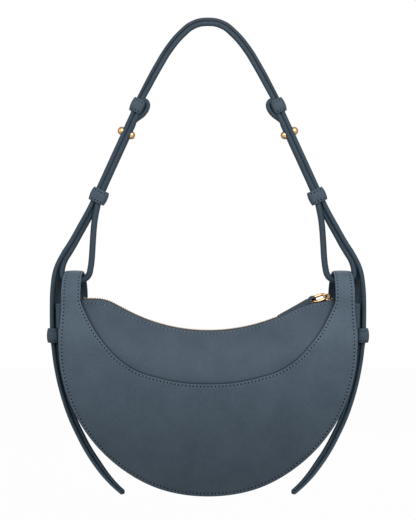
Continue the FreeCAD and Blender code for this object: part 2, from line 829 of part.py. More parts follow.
save("front_panel", sheet(panel_skin, front_region(), leather))
save("back_panel", mirrored_y(sheet(panel_skin, back_region(), leather)))
upper = sheet(upper_skin, upper_region(), leather)
save("front_upper_panel", upper)
save("back_upper_panel", mirrored_y(upper))
lining = sheet(lining_skin, lining_region(), lining_thick)
save("lining_front", lining)
save("lining_back", mirrored_y(lining))
save("gusset", gusset_strip(0.0, leather, gusset_top_z))
save("lining_gusset", gusset_strip(leather + layer_gap, lining_thick, gusset_top_z))
save_pair("gusset_tab", gusset_tab())
save_pair("horn_arch", arch(horn_arch_radius, leather, horn_inner_x, horn_outer_x))
facing_radius = horn_arch_radius - leather - layer_gap
save_pair("horn_facing", arch(facing_radius, facing_thick, horn_inner_x, horn_outer_x))
save_pair("back_horn_wing", back_wing())
save_pair("side_keeper", side_keeper())
save("strap_top", strap_top())
save_pair("strap_run", strap_run())
save_pair("strap_drop", strap_drop())
save_pair("strap_tail", strap_tail())
save_pair("horn_strap", horn_strap())
save_pair("upper_keeper", upper_keeper())
save_pair("lower_keeper", lower_keeper())
save_pair("strap_end", strap_end())
save_pair("stud_base", stud_base())
save_pair("stud_cap", stud_cap())
save("zip_tape_front", zip_tape(-1))
save("zip_tape_back", zip_tape(1))
save("zip_teeth_front", zip_teeth(-1))
save("zip_teeth_back", zip_teeth(1))
save("zip_stops", zip_stops())
save("zip_slider", zip_slider())
save("zip_pull_ring", pull_ring())
save("zip_pull_tab", pull_tab())
print("slider hinge", 0, 0, zip_center_z, "ring hinge", bail_point(), "pull hinge", pull_point())
print("run direction", run_dir, "stud", stud_frame())
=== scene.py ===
import math
import bpy
import bmesh
from mathutils import Vector, Matrix


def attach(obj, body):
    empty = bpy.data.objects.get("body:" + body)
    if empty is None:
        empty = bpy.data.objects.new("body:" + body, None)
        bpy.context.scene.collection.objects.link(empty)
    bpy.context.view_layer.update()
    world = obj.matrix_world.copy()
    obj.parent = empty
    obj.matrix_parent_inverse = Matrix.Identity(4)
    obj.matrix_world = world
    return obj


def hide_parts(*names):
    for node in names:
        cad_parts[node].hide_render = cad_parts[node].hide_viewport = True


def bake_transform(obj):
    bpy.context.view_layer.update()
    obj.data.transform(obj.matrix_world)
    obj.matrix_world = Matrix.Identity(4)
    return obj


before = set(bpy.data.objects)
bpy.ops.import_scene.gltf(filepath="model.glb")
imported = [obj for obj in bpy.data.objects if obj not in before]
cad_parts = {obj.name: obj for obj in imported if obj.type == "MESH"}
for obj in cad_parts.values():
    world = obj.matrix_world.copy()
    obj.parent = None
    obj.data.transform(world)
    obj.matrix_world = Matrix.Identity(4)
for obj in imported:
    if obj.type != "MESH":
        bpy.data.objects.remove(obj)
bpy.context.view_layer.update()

mm = 0.001
yAxis = Vector((0, 1, 0))
sides = ((-1, "left"), (1, "right"))


# Small helpers. Lengths are in millimetres until makePiece scales the mesh.

def clampTo(value, low, high):
    return max(low, min(high, value))


def smoothStep(t):
    t = clampTo(t, 0.0, 1.0)
    return t * t * (3.0 - 2.0 * t)


def softHump(d, width):
    return math.exp(-(d / width) ** 2)


def addObject(name, data):
    made = bpy.data.objects.new(name, data)
    bpy.context.scene.collection.objects.link(made)
    return made


def gridMesh(cols, rows, place, closed=False, tone=None):
    # A grid laid by place(u, v); tone is a lighter or darker value kept with each point.
    bm = bmesh.new()
    layer = bm.verts.layers.float.new("tone")
    bmesh.ops.create_grid(bm, x_segments=cols, y_segments=rows, size=0.5)
    for vert in bm.verts:
        u, v = vert.co.x + 0.5, vert.co.y + 0.5
        if tone:
            vert[layer] = tone(u, v)
        vert.co = place(u, v)
    if closed:
        bmesh.ops.remove_doubles(bm, verts=bm.verts, dist=1e-4)
    return bm


def addBox(bm, at, size, place=Matrix()):
    matrix = place @ Matrix.Translation(at) @ Matrix.Diagonal((*size, 1))
    return bmesh.ops.create_cube(bm, size=1.0, matrix=matrix)["verts"]


def bevelEdges(bm, edges, offset, segments):
    bmesh.ops.bevel(bm, geom=edges, offset=offset, segments=segments, profile=0.5, affect="EDGES", material=-1)


def moveMesh(bm, matrix):
    bmesh.ops.transform(bm, matrix=matrix, verts=bm.verts)


def joinInto(bm, other):
    # Adds another bmesh's faces and drops it.
    mesh = bpy.data.meshes.new("joined")
    other.to_mesh(mesh)
    other.free()
    bm.from_mesh(mesh)
    bpy.data.meshes.remove(mesh)


def closeEnds(bm):
    rims = [e for e in bm.edges if e.is_boundary]
    bmesh.ops.holes_fill(bm, edges=rims, sides=0)
    bmesh.ops.recalc_face_normals(bm, faces=bm.faces)


def faceOut(bm, outward):
    # Open skins: turn all faces to the side that outward() points to.
    bmesh.ops.recalc_face_normals(bm, faces=bm.faces)
    bm.normal_update()
    total = sum(f.normal.dot(outward(f.calc_center_median())) for f in bm.faces)
    if total < 0:
        bmesh.ops.reverse_faces(bm, faces=bm.faces)


# the record's material slot of each finish
slots = {"panel": "panel_leather", "inset": "inset_leather", "keeper": "keeper_leather", "hem": "keeper_leather",
         "strap": "strap_leather", "pull": "pull_leather", "suede": "facing_suede", "lining": "lining",
         "gold": "gold_metal", "teeth": "zip_brass", "tape": "zip_tape"}


def makePiece(bm, name, finish, body, nodes=(), thick=0.0, rim=0.0, smooth=True, slotName=None):
    bmesh.ops.scale(bm, vec=(mm, mm, mm), verts=bm.verts)
    mesh = bpy.data.meshes.new(name)
    bm.to_mesh(mesh)
    bm.free()
    piece = addObject(name, mesh)
    mesh.materials.append(finishes[finish])
    # how far the surface turns from front or back, used for painted shade on leather's flanks and a painted reflection
    # on metal's flanks
    flank = mesh.attributes.new("flank", "FLOAT", "POINT")
    flank.data.foreach_set("value", [1.0 - abs(v.normal.y) for v in mesh.vertices])
    if smooth:
        mesh.shade_smooth()
    if thick:
        wall = piece.modifiers.new("wall", "SOLIDIFY")
        wall.thickness = thick * mm
        wall.offset = -1.0
        wall.use_even_offset = True
    if rim:
        soft = piece.modifiers.new("rim", "BEVEL")
        soft.width = rim * mm
        soft.segments = 3
        soft.limit_method = "ANGLE"
        soft.angle_limit = math.radians(50)
    if body:
        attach(piece, body)
    if nodes:
        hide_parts(*nodes)
    slotName or slots[finish]
    return piece


def suedeInside(piece):
    piece.data.materials.append(finishes["suede"])
    piece.modifiers["wall"].material_offset = 1


def routeLine(points, steps=14):
    # A smooth curve through a few points, read back as a fine line.
    data = bpy.data.curves.new("route", "CURVE")
    data.dimensions = "3D"
    data.resolution_u = steps
    spline = data.splines.new("BEZIER")
    spline.bezier_points.add(len(points) - 1)
    for knot, point in zip(spline.bezier_points, points):
        knot.co = point
        knot.handle_left_type = "AUTO"
        knot.handle_right_type = "AUTO"
    holder = addObject("route", data)
    depsgraph = bpy.context.evaluated_depsgraph_get()
    mesh = bpy.data.meshes.new_from_object(holder.evaluated_get(depsgraph))
    line = [v.co.copy() for v in mesh.vertices]
    bpy.data.objects.remove(holder)
    bpy.data.curves.remove(data)
    bpy.data.meshes.remove(mesh)
    return line


def evenLine(line, count):
    # The same line with count equal steps.
    runs = [0.0]
    for a, b in zip(line, line[1:]):
        runs.append(runs[-1] + (b - a).length)
    found = []
    k = 0
    for i in range(count + 1):
        goal = runs[-1] * i / count
        while k < len(line) - 2 and runs[k + 1] < goal:
            k += 1
        span = runs[k + 1] - runs[k]
        share = (goal - runs[k]) / span if span > 0 else 0.0
        found.append(line[k].lerp(line[k + 1], clampTo(share, 0.0, 1.0)))
    return found


def smoothLine(points, count):
    return evenLine(routeLine(points), count)


def lineLength(line):
    return sum((b - a).length for a, b in zip(line, line[1:]))


def tangentsOf(line):
    last = len(line) - 1
    return [(line[min(i + 1, last)] - line[max(i - 1, 0)]).normalized() for i in range(last + 1)]


def vectors(points):
    return [Vector(p) for p in points]


def flatPoints(pairs):
    return [Vector((x, 0, z)) for x, z in pairs]


def flipped(points, side):
    return [Vector((side * p[0], p[1], p[2])) for p in points]


def sweepBand(line, profile, wideDirs=None, sizeAt=None):
    # Carries a closed profile (across, over, tone) along a line, its width to the back if nothing else is given.
    tangents = tangentsOf(line)
    count = len(profile)
    last = len(line) - 1

    def place(u, v):
        i = round(u * last)
        k = round(v * count) % count
        wide = wideDirs[i] if wideDirs else yAxis
        wide = (wide - tangents[i] * wide.dot(tangents[i])).normalized()
        over = tangents[i].cross(wide)
        size = sizeAt(i / last) if sizeAt else 1.0
        return line[i] + (wide * profile[k][0] + over * profile[k][1]) * size

    bm = gridMesh(last, count, place, closed=True, tone=lambda u, v: profile[round(v * count) % count][2])
    closeEnds(bm)
    return bm


sectionForm = {"beadSteps": 12, "grooveFrom": 124, "grooveOver": 20,
               "rollSteps": 28, "seamWidth": 0.2, "seamShade": 0.6}


def beadPair(width, thick, bend=150, groove=0.8):
    # Section of the strap: two rolled beads with a groove between them.
    r = 0.5 * thick
    c = 0.5 * width - r
    steps = sectionForm["beadSteps"]
    points = []
    for side in (1, -1):
        for k in range(steps + 1):
            a = math.radians(-bend + 2 * bend * k / steps)
            # painted shade: the sides of the groove between the beads are darkened
            past = abs(math.degrees(a)) - sectionForm["grooveFrom"]
            shade = -groove * smoothStep(past / sectionForm["grooveOver"])
            points.append((side * (c + r * math.cos(a)), side * r * math.sin(a), shade))
    return points


def flatBand(width, thick):
    return beadPair(width, thick, bend=90)


def rolledRound(radius, seamAt, depth):
    # A round roll with the dent of its seam, darkened there with painted shade.
    points = []
    for k in range(sectionForm["rollSteps"]):
        a = 2 * math.pi * k / sectionForm["rollSteps"]
        off = (a - math.radians(seamAt) + math.pi) % (2 * math.pi) - math.pi
        dent = softHump(off, sectionForm["seamWidth"])
        r = radius - depth * dent
        points.append((r * math.cos(a), r * math.sin(a), -sectionForm["seamShade"] * dent))
    return points


# Finishes

def addNode(tree, kind, **values):
    node = tree.nodes.new(kind)
    for key, value in values.items():
        setattr(node, key, value)
    return node


def feed(socket, value):
    # A socket is linked, a plain value is set.
    if isinstance(value, bpy.types.NodeSocket):
        socket.id_data.links.new(value, socket)
    else:
        socket.default_value = value


def setInputs(node, **values):
    for key, value in values.items():
        feed(node.inputs[key.replace("_", " ")], value)
    return node


def addMath(tree, operation, *values):
    node = addNode(tree, "ShaderNodeMath", operation=operation)
    for socket, value in zip(node.inputs, values):
        feed(socket, value)
    return node.outputs[0]


def addNoise(tree, place, **values):
    return setInputs(addNode(tree, "ShaderNodeTexNoise"), Vector=place, **values).outputs["Fac"]


def addRange(tree, value, kind="LINEAR", **limits):
    node = addNode(tree, "ShaderNodeMapRange", interpolation_type=kind)
    return setInputs(node, Value=value, **limits).outputs["Result"]


def meshValue(tree, name):
    return addNode(tree, "ShaderNodeAttribute", attribute_name=name).outputs["Fac"]


def ownPlace(tree):
    return addNode(tree, "ShaderNodeTexCoord").outputs["Object"]


def twoTones(tree, value, dark, light, start=0.0, end=1.0):
    ramp = setInputs(addNode(tree, "ShaderNodeValToRGB"), Fac=value)
    for stop, at, color in zip(ramp.color_ramp.elements, (start, end), (dark, light)):
        stop.position = at
        stop.color = (*color, 1)
    return ramp.outputs["Color"]


def addRelief(tree, shader, height, strength, distance):
    relief = setInputs(addNode(tree, "ShaderNodeBump"), Height=height, Strength=strength, Distance=distance)
    setInputs(shader, Normal=relief.outputs["Normal"])


def newMaterial(name):
    mat = bpy.data.materials.new(name)
    mat.use_nodes = True
    tree = mat.node_tree
    return mat, tree, tree.nodes["Principled BSDF"]


def newGroup(name, inputs, values, colors=()):
    # A group with number inputs, and value and colour outputs.
    tree = bpy.data.node_groups.new(name, "ShaderNodeTree")
    for label, value in inputs.items():
        socket = tree.interface.new_socket(label, in_out="INPUT", socket_type="NodeSocketFloat")
        socket.default_value = value
    for labels, kind in ((values, "NodeSocketFloat"), (colors, "NodeSocketColor")):
        for label in labels:
            tree.interface.new_socket(label, in_out="OUTPUT", socket_type=kind)
    return tree, addNode(tree, "NodeGroupInput").outputs, addNode(tree, "NodeGroupOutput")


def placeGroup(tree, group, **values):
    return setInputs(addNode(tree, "ShaderNodeGroup", node_tree=group), **values).outputs


def leatherGrain():
    # Fine pebble grain, slow mottling and pores.
    tree, given, out = newGroup("leatherGrain", {"Grain Scale": 1300.0}, ("Height", "Mottle", "Pores"))
    place = ownPlace(tree)
    cells = addNode(tree, "ShaderNodeTexVoronoi", feature="SMOOTH_F1")
    setInputs(cells, Vector=place, Scale=given["Grain Scale"], Smoothness=0.6)
    pebble = cells.outputs["Distance"]
    fine = addNoise(tree, place, Scale=2600.0, Detail=3.0, Roughness=0.6)
    slow = addNoise(tree, place, Scale=38.0, Detail=5.0, Roughness=0.62)
    blot = addNoise(tree, place, Scale=420.0, Detail=4.0, Roughness=0.7)
    height = addMath(tree, "MULTIPLY_ADD", fine, 0.45, pebble)
    mottle = addMath(tree, "MULTIPLY_ADD", slow, 0.55, addMath(tree, "MULTIPLY", blot, 0.45))
    setInputs(out, Height=height, Mottle=mottle, Pores=addRange(tree, pebble, From_Min=0.25, From_Max=0.75))
    return tree


def leatherPaintedShade():
    # Painted light and shade: the mesh's tone (painted shade in grooves, seam dents, a tuck and under the crescent's
    # edge, the turned edges a little lighter), painted shade towards the bottom of the bag set by Low, which paints
    # light there instead when above 1, and painted shade on the flanks set by Flank.
    tree, given, out = newGroup("leatherPaintedShade", {"Low": 1.0, "Flank": 1.0}, ("Shade",))
    tone = addMath(tree, "ADD", meshValue(tree, "tone"), 1.0)
    parts = setInputs(addNode(tree, "ShaderNodeSeparateXYZ"), Vector=ownPlace(tree))
    depth = addRange(tree, parts.outputs["Z"], "SMOOTHSTEP", From_Min=-0.47, From_Max=-0.265,
                     To_Min=given["Low"], To_Max=1.0)
    flankShade = addRange(tree, meshValue(tree, "flank"), From_Min=0.12, From_Max=0.9, To_Min=1.0, To_Max=given["Flank"])
    setInputs(out, Shade=addMath(tree, "MULTIPLY", addMath(tree, "MULTIPLY", depth, tone), flankShade))
    return tree


def metalWearAndReflection():
    # Haze and fine scratches, and a painted reflection: the flanks darker and the crown bright.
    tree, given, out = newGroup("metalWearAndReflection", {"Haze Scale": 260.0}, ("Haze", "Scratch"), ("Patina",))
    place = ownPlace(tree)
    haze = addNoise(tree, place, Scale=given["Haze Scale"], Detail=5.0, Roughness=0.65)
    scratch = addNoise(tree, place, Scale=2200.0, Detail=2.0)
    # painted reflection: white at the crown, darker as the surface turns to the flanks
    paintedReflection = setInputs(addNode(tree, "ShaderNodeValToRGB"), Fac=meshValue(tree, "flank"))
    stops = paintedReflection.color_ramp.elements
    stops[0].color = (1.0, 1.0, 1.0, 1)
    stops[1].color = (0.36, 0.33, 0.29, 1)
    for at, gray in ((0.1, 1.0), (0.26, 0.62), (0.46, 0.36), (0.7, 0.34)):
        stops.new(at).color = (gray, gray * 0.94, gray * 0.86, 1)
    setInputs(out, Haze=haze, Scratch=scratch, Patina=paintedReflection.outputs["Color"])
    return tree


def clothWeave():
    tree, given, out = newGroup("clothWeave", {"Weave Scale": 500.0}, ("Weave",))
    place = ownPlace(tree)
    waves = []
    for axis in ("X", "Z"):
        wave = addNode(tree, "ShaderNodeTexWave", wave_type="BANDS", bands_direction=axis)
        setInputs(wave, Vector=place, Scale=given["Weave Scale"], Distortion=0.6, Detail=1.0)
        waves.append(wave.outputs["Fac"])
    setInputs(out, Weave=addMath(tree, "MULTIPLY", *waves))
    return tree


grainGroup = leatherGrain()
paintedShadeGroup = leatherPaintedShade()
wearAndReflectionGroup = metalWearAndReflection()
weaveGroup = clothWeave()


def leather(name, dark, light, roughLow, roughHigh, bump, grain=1300.0, shine=0.14, low=1.0, flank=0.0):
    mat, tree, shader = newMaterial(name)
    skin = placeGroup(tree, grainGroup, Grain_Scale=grain)
    # painted light and shade: Low below 1 darkens the bottom of the bag, above 1 lightens it, and Flank darkens the
    # flanks
    paintedShade = placeGroup(tree, paintedShadeGroup, Low=low, Flank=1.0 - flank)
    tinted = addNode(tree, "ShaderNodeVectorMath", operation="SCALE")
    setInputs(tinted, Vector=twoTones(tree, skin["Mottle"], dark, light, start=0.34, end=0.66), Scale=paintedShade["Shade"])
    setInputs(shader, Base_Color=tinted.outputs[0], Specular_IOR_Level=shine,
              Roughness=addRange(tree, skin["Pores"], To_Min=roughLow, To_Max=roughHigh))
    addRelief(tree, shader, skin["Height"], strength=bump, distance=0.00025)
    return mat


def wornMetal(name, base, bright, rough):
    mat, tree, shader = newMaterial(name)
    wearAndReflection = placeGroup(tree, wearAndReflectionGroup)
    # painted reflection: the metal's colour is multiplied by the darker flanks
    paintedReflection = addNode(tree, "ShaderNodeMix", data_type="RGBA", blend_type="MULTIPLY")
    # factor and the two colours
    for k, value in ((0, 1.0), (6, twoTones(tree, wearAndReflection["Haze"], base, bright)), (7, wearAndReflection["Patina"])):
        feed(paintedReflection.inputs[k], value)
    setInputs(shader, Base_Color=paintedReflection.outputs[2], Metallic=1.0,
              Roughness=addRange(tree, wearAndReflection["Haze"], To_Min=rough * 0.7, To_Max=rough * 1.4))
    addRelief(tree, shader, wearAndReflection["Scratch"], strength=0.06, distance=0.0001)
    return mat


def wovenCloth(name, dark, light, pitch):
    mat, tree, shader = newMaterial(name)
    weave = placeGroup(tree, weaveGroup, Weave_Scale=0.314 / pitch * 1000.0)["Weave"]
    setInputs(shader, Base_Color=twoTones(tree, weave, dark, light), Roughness=0.85)
    addRelief(tree, shader, weave, strength=0.5, distance=0.0002)
    return mat


# low paints shade towards the bottom of the bag, and light there where it is above 1, as on the strap; flank paints
# shade on the flanks
finishes = {
    "panel": leather("panelLeather", (0.056, 0.081, 0.108), (0.079, 0.110, 0.143), 0.52, 0.66, 0.24, low=0.54),
    "inset": leather("insetLeather", (0.044, 0.064, 0.086), (0.062, 0.087, 0.114), 0.52, 0.66, 0.24),
    "keeper": leather("keeperLeather", (0.047, 0.067, 0.089), (0.062, 0.086, 0.111), 0.50, 0.64, 0.24,
                      low=0.75, flank=0.5),
    "strap": leather("strapLeather", (0.028, 0.045, 0.063), (0.040, 0.062, 0.084), 0.46, 0.60, 0.22,
                     shine=0.16, low=1.5, flank=0.62),
    "pull": leather("pullLeather", (0.028, 0.044, 0.062), (0.040, 0.059, 0.081), 0.46, 0.6, 0.22, flank=0.4),
    "suede": leather("facingSuede", (0.030, 0.045, 0.062), (0.052, 0.073, 0.096), 0.8, 0.95, 0.45,
                     grain=2400.0, shine=0.03),
    "hem": leather("hemLeather", (0.050, 0.074, 0.102), (0.066, 0.095, 0.127), 0.75, 0.9, 0.24, shine=0.05),
    "thread": leather("waxedThread", (0.100, 0.132, 0.163), (0.134, 0.170, 0.203), 0.45, 0.6, 0.3,
                      grain=3800.0, low=0.5),
    # painted shade: the needle holes are near-black ovals standing for the holes' dark insides
    "hole": leather("needleHoleShade", (0.003, 0.005, 0.007), (0.006, 0.009, 0.012), 0.8, 0.95, 0.2, shine=0.02),
    "gold": wornMetal("goldMetal", (0.54, 0.31, 0.14), (0.87, 0.58, 0.32), 0.14),
    "teeth": wornMetal("zipBrass", (0.66, 0.40, 0.17), (0.88, 0.56, 0.26), 0.24),
    "tape": wovenCloth("zipTapeCloth", (0.014, 0.021, 0.030), (0.036, 0.050, 0.065), 0.55),
    "lining": wovenCloth("liningCloth", (0.030, 0.036, 0.046), (0.058, 0.068, 0.082), 0.7),
}
print("stage: finishes ready")


# The bag's own surfaces

bagForm = {
    "radius": 146.3, "centerZ": -318.2, "edgeHalf": 33.0, "belly": 10.0, "lowRim": 1.2, "gussetTop": -277.6,
    "hipRise": 0.7, "hipAt": 20, "hipWidth": 12, "leather": 2.0, "gap": 0.2, "rim": 0.55,
    "archRadius": 28.6, "hornBase": -273.6, "hornInner": 125.2, "hornOuter": 144.4, "backHornOuter": 158.0,
    "hornCrown": 0.5, "hornSpread": 3.0, "hornLean": 1.8, "hornLead": (0.2, 14), "edgeTone": 0.1, "edgeToneTo": 2.0,
    "crescent": [(0, -354.9), (47.8, -349.2), (79.0, -337.0), (102.7, -314.1), (119.5, -288.0)],
}
bagRadius, centerZ, hornBase = (bagForm[key] for key in ("radius", "centerZ", "hornBase"))
zipForm = {
    "left": {"radius": 173.0, "turn": 80.0, "fall": 95.5, "shoulder": 34.0, "lift": 0.019},
    "right": {"radius": 183.0, "turn": 82.0, "fall": 84.0, "shoulder": 96.0, "lift": 0.0},
    "lowZ": -304.6, "liftFrom": 108.0, "leftEnd": -125.0, "rightEnd": 126.0, "mouthHalf": 11.0, "mouthDrop": 50.0,
    "tableStep": 0.5, "tableCount": 280,
}


def hornRise(z):
    return smoothStep((z - centerZ) / (hornBase - centerZ))


def bodyHalf(z):
    # Half the bag's depth at its edge.
    return bagForm["edgeHalf"] + (bagForm["archRadius"] - bagForm["edgeHalf"]) * hornRise(z)


def panelY(x, z):
    drop = max(centerZ - z, 0.0)
    spread = (x * x + drop * drop) / bagRadius ** 2
    return -(bodyHalf(z) + bagForm["belly"] * (1.0 - hornRise(z)) * (1.0 - spread))


def zipSlope(x):
    # The mouth's line is an arc in the middle and turns level on a shoulder at each side.
    form = zipForm["left" if x < 0 else "right"]
    d = abs(x)
    rise = min(d, form["turn"]) / form["radius"] - max(d - form["fall"], 0.0) / form["shoulder"]
    steep = math.tan(math.asin(clampTo(rise, -0.9, 0.9))) + form["lift"] * max(d - zipForm["liftFrom"], 0.0)
    return math.atan(steep) * (-1 if x < 0 else 1)


def zipHeights(side):
    step = zipForm["tableStep"]
    heights = [zipForm["lowZ"]]
    for k in range(zipForm["tableCount"]):
        heights.append(heights[-1] + step * math.tan(zipSlope(side * step * (k + 0.5))) * side)
    return heights


zipTable = {-1: zipHeights(-1), 1: zipHeights(1)}


def zipZ(x):
    heights = zipTable[-1 if x < 0 else 1]
    at = min(abs(x) / zipForm["tableStep"], zipForm["tableCount"] - 1.0)
    k = int(at)
    return heights[k] + (heights[k + 1] - heights[k]) * (at - k)


def mouthZ(x, drop=0.0):
    return zipZ(x) - drop / math.cos(zipSlope(x))


def upperY(x, z):
    side = clampTo(x, zipForm["leftEnd"], zipForm["rightEnd"])
    share = clampTo((mouthZ(side) - z) / zipForm["mouthDrop"], 0.0, 1.0)
    full = -panelY(x, z) - bagForm["leather"] - bagForm["gap"]
    return -(zipForm["mouthHalf"] + (full - zipForm["mouthHalf"]) * (1.0 - (1.0 - share) ** 2))


def frontOrBack(point, back):
    return Vector((point.x, -point.y if back else point.y, point.z))


def outerEdge(flare):
    # Left horn, round the half moon, right horn; the back horn flares out.
    right = []
    for k in range(13):
        s = k / 12
        x = bagRadius + flare * smoothStep(s)
        right.append(Vector((x, 0, centerZ + s * (hornBase - centerZ))))
    bowl = []
    for k in range(1, 90):
        turn = 180 + 2 * k
        a = math.radians(turn)
        r = bagRadius + bagForm["lowRim"] * math.sin(a) ** 2
        r += bagForm["hipRise"] * softHump(abs(turn - 270) - bagForm["hipAt"], bagForm["hipWidth"])
        bowl.append(Vector((r * math.cos(a), 0, centerZ + r * math.sin(a))))
    return flipped(reversed(right), -1) + bowl + right


def archInner(phi):
    # The horn grows a little wider on its way over to the back.
    return bagForm["hornInner"] - bagForm["hornSpread"] * math.sin(phi / 2) ** 4


def archOuter(phi):
    return bagForm["hornOuter"] - bagForm["hornLean"] * math.sin(phi) ** 4


def innerEdge(phi):
    # the last point, above the horn's base, only leads the curve
    x, (leadX, leadZ) = archInner(phi), bagForm["hornLead"]
    right = flatPoints(bagForm["crescent"][1:] + [(x, hornBase), (x + leadX, hornBase + leadZ)])
    line = routeLine(flipped(reversed(right), -1) + flatPoints(bagForm["crescent"][:1]) + right, 20)
    return [p for p in line if p.z <= hornBase + 0.01]


def inwardOf(line, side):
    return [Vector((-t.z * side, 0, t.x * side)) for t in tangentsOf(line)]


edgeSteps = [0.0, 0.9, 1.5, 2.1, 2.7, 3.3, 3.9, 5.2, 7.2]
middleSteps = 14
stitchInset = {"outer": 3.1, "inner": 2.2}
shellEdge = {"sink": 0.30, "sinkWidth": 0.75, "roll": 0.35, "rollOver": 1.8}


def edgeRelief(d, stitchAt, form):
    # A turned edge rolls off and its stitch row sinks in a little.
    lift = -form["sink"] * softHump(d - stitchAt, form["sinkWidth"])
    if d < form["rollOver"]:
        lift -= form["roll"] * (1.0 - d / form["rollOver"]) ** 2
    return lift


def shellColumns(flare, arches, count=220, archCount=22):
    outer = evenLine(outerEdge(flare), count)
    inner = evenLine(innerEdge(0.0 if arches else math.pi), count)
    outIn = inwardOf(outer, 1)
    inIn = inwardOf(inner, -1)
    columns = [(outer[i], outIn[i], inner[i], inIn[i], None) for i in range(count + 1)]
    if not arches:
        return columns
    ends = []
    for side in (-1, 1):
        arch = []
        for k in range(1, archCount + 1):
            phi = math.pi * k / archCount
            o = Vector((side * archOuter(phi), 0, 0))
            i = Vector((side * archInner(phi), 0, 0))
            arch.append((o, Vector((-side, 0, 0)), i, Vector((side, 0, 0)), phi))
        ends.append(arch)
    return list(reversed(ends[0])) + columns + ends[1]


def shellRows():
    rows = [("outer", d) for d in edgeSteps]
    rows += [("middle", (k + 1) / (middleSteps + 1)) for k in range(middleSteps)]
    return rows + [("inner", d) for d in reversed(edgeSteps)]


def shellPoint(column, row, back):
    o, outIn, i, inIn, phi = column
    kind, d = row
    if kind == "outer":
        p = o + outIn * d
    elif kind == "inner":
        p = i + inIn * d
    else:
        p = (o + outIn * edgeSteps[-1]).lerp(i + inIn * edgeSteps[-1], d)
    lift = 0.0 if kind == "middle" else edgeRelief(d, stitchInset[kind], shellEdge)
    if phi is None:
        point = Vector((p.x, panelY(p.x, p.z) - lift, p.z))
    else:
        across = (2 * abs(p.x) - archInner(phi) - archOuter(phi)) / (archOuter(phi) - archInner(phi))
        r = bagForm["archRadius"] + lift + bagForm["hornCrown"] * (1 - across * across) * math.sin(phi) ** 2
        point = Vector((p.x, -r * math.cos(phi), hornBase + r * math.sin(phi)))
    return frontOrBack(point, back)


def shellOutward(point, back):
    if point.z > hornBase:
        return Vector((0, point.y, point.z - hornBase)).normalized()
    return Vector((0, 1 if back else -1, 0))


def makeShell(name, flare, arches, back, nodes):
    columns = shellColumns(flare, arches)
    rows = shellRows()
    lastColumn = len(columns) - 1
    lastRow = len(rows) - 1

    def place(u, v):
        return shellPoint(columns[round(u * lastColumn)], rows[round(v * lastRow)], back)

    def tone(u, v):
        kind, d = rows[round(v * lastRow)]
        return 0.0 if kind == "middle" or d > bagForm["edgeToneTo"] else bagForm["edgeTone"]

    bm = gridMesh(lastColumn, lastRow, place, tone=tone)
    faceOut(bm, lambda c: shellOutward(c, back))
    suedeInside(makePiece(bm, name, "panel", "bag", nodes, bagForm["leather"], bagForm["rim"]))
    return columns


frontColumns = makeShell("frontShell", bagForm["hornOuter"] - bagRadius, True, False,
                         ("front_panel", "horn_arch_left", "horn_arch_right"))
backColumns = makeShell("backShell", bagForm["backHornOuter"] - bagRadius, False, True, ("back_panel",))
print("stage: crescent panels")


# Stitching

stitchForm = {"pitch": 3.6, "length": 2.3, "width": 0.95, "height": 0.7, "lift": 0.08,
              "hole": 0.86, "holeDeep": 0.2, "holeLift": 0.02}


def ovalMatrix(center, along, normal, a, b, c):
    side = normal.cross(along).normalized()
    up = along.cross(side)
    basis = Matrix((along * a, side * b, up * c)).transposed().to_4x4()
    return Matrix.Translation(center) @ basis


def addCopies(bm, matrices, across, around, atOnce=40):
    # Small ovals, made a batch at a time.
    for k in range(0, len(matrices), atOnce):
        batch = bmesh.new()
        for m in matrices[k:k + atOnce]:
            bmesh.ops.create_uvsphere(batch, u_segments=around, v_segments=across, radius=1.0, matrix=m)
        joinInto(bm, batch)


def sewRow(threadMesh, holeMesh, line, outward, form):
    # outward is one direction, or a function of the place.
    count = max(int(round(lineLength(line) / form["pitch"])), 2)
    fine = evenLine(line, count * 2)
    threads = []
    holes = []
    for i, (point, tangent) in enumerate(zip(fine, tangentsOf(fine))):
        normal = outward(point) if callable(outward) else outward
        if i % 2:
            threads.append(ovalMatrix(point + normal * form["lift"], tangent, normal, form["length"] / 2,
                                      form["width"] / 2, form["height"] / 2))
        else:
            holes.append(ovalMatrix(point + normal * form["holeLift"], tangent, normal, form["hole"], form["hole"],
                                    form["holeDeep"]))
    addCopies(threadMesh, threads, 6, 7)
    addCopies(holeMesh, holes, 5, 8)


def sewPieces(name, body, finish, rows, form=stitchForm):
    threads = bmesh.new()
    holes = bmesh.new()
    for line, outward in rows:
        sewRow(threads, holes, line, outward, form)
    makePiece(threads, name + "Thread", "thread", body, slotName=slots[finish])
    makePiece(holes, name + "Holes", "hole", body, slotName=slots[finish])


def shellSeams(columns, back):
    return [([shellPoint(c, (edge, inset), back) for c in columns], lambda p: shellOutward(p, back))
            for edge, inset in stitchInset.items()]


sewPieces("frontShell", "bag", "panel", shellSeams(frontColumns, False))
sewPieces("backShell", "bag", "panel", shellSeams(backColumns, True))
print("stage: panel stitching")


# Inset panels, gusset and linings

insetForm = {
    "endX": 125.0, "fall": 0.4, "lowZ": -368.9, "hipZ": -318.1, "rim": 0.5, "columns": 140, "deepRows": 56,
    "leftSeam": 1.1, "rightSeam": 0.4, "seamFrom": 30, "seamOver": 70,
    "stitch": 1.9, "sewHalf": 123.0, "sewOut": 0.75, "sewUp": 0.66,
    "shade": 0.62, "shadeAt": 0.1, "shadeWidth": 1.0,
}
insetEdge = {"sink": 0.25, "sinkWidth": 0.6, "roll": 0.3, "rollOver": 1.2}
insetRows = [0.0, 0.7, 1.3, 1.9, 2.5, 3.4, 5.0]
insetStitch = dict(stitchForm, pitch=3.8, hole=0.5)


def insetLow(x):
    share = x / insetForm["endX"]
    return insetForm["lowZ"] + (insetForm["hipZ"] - insetForm["lowZ"]) * share * share


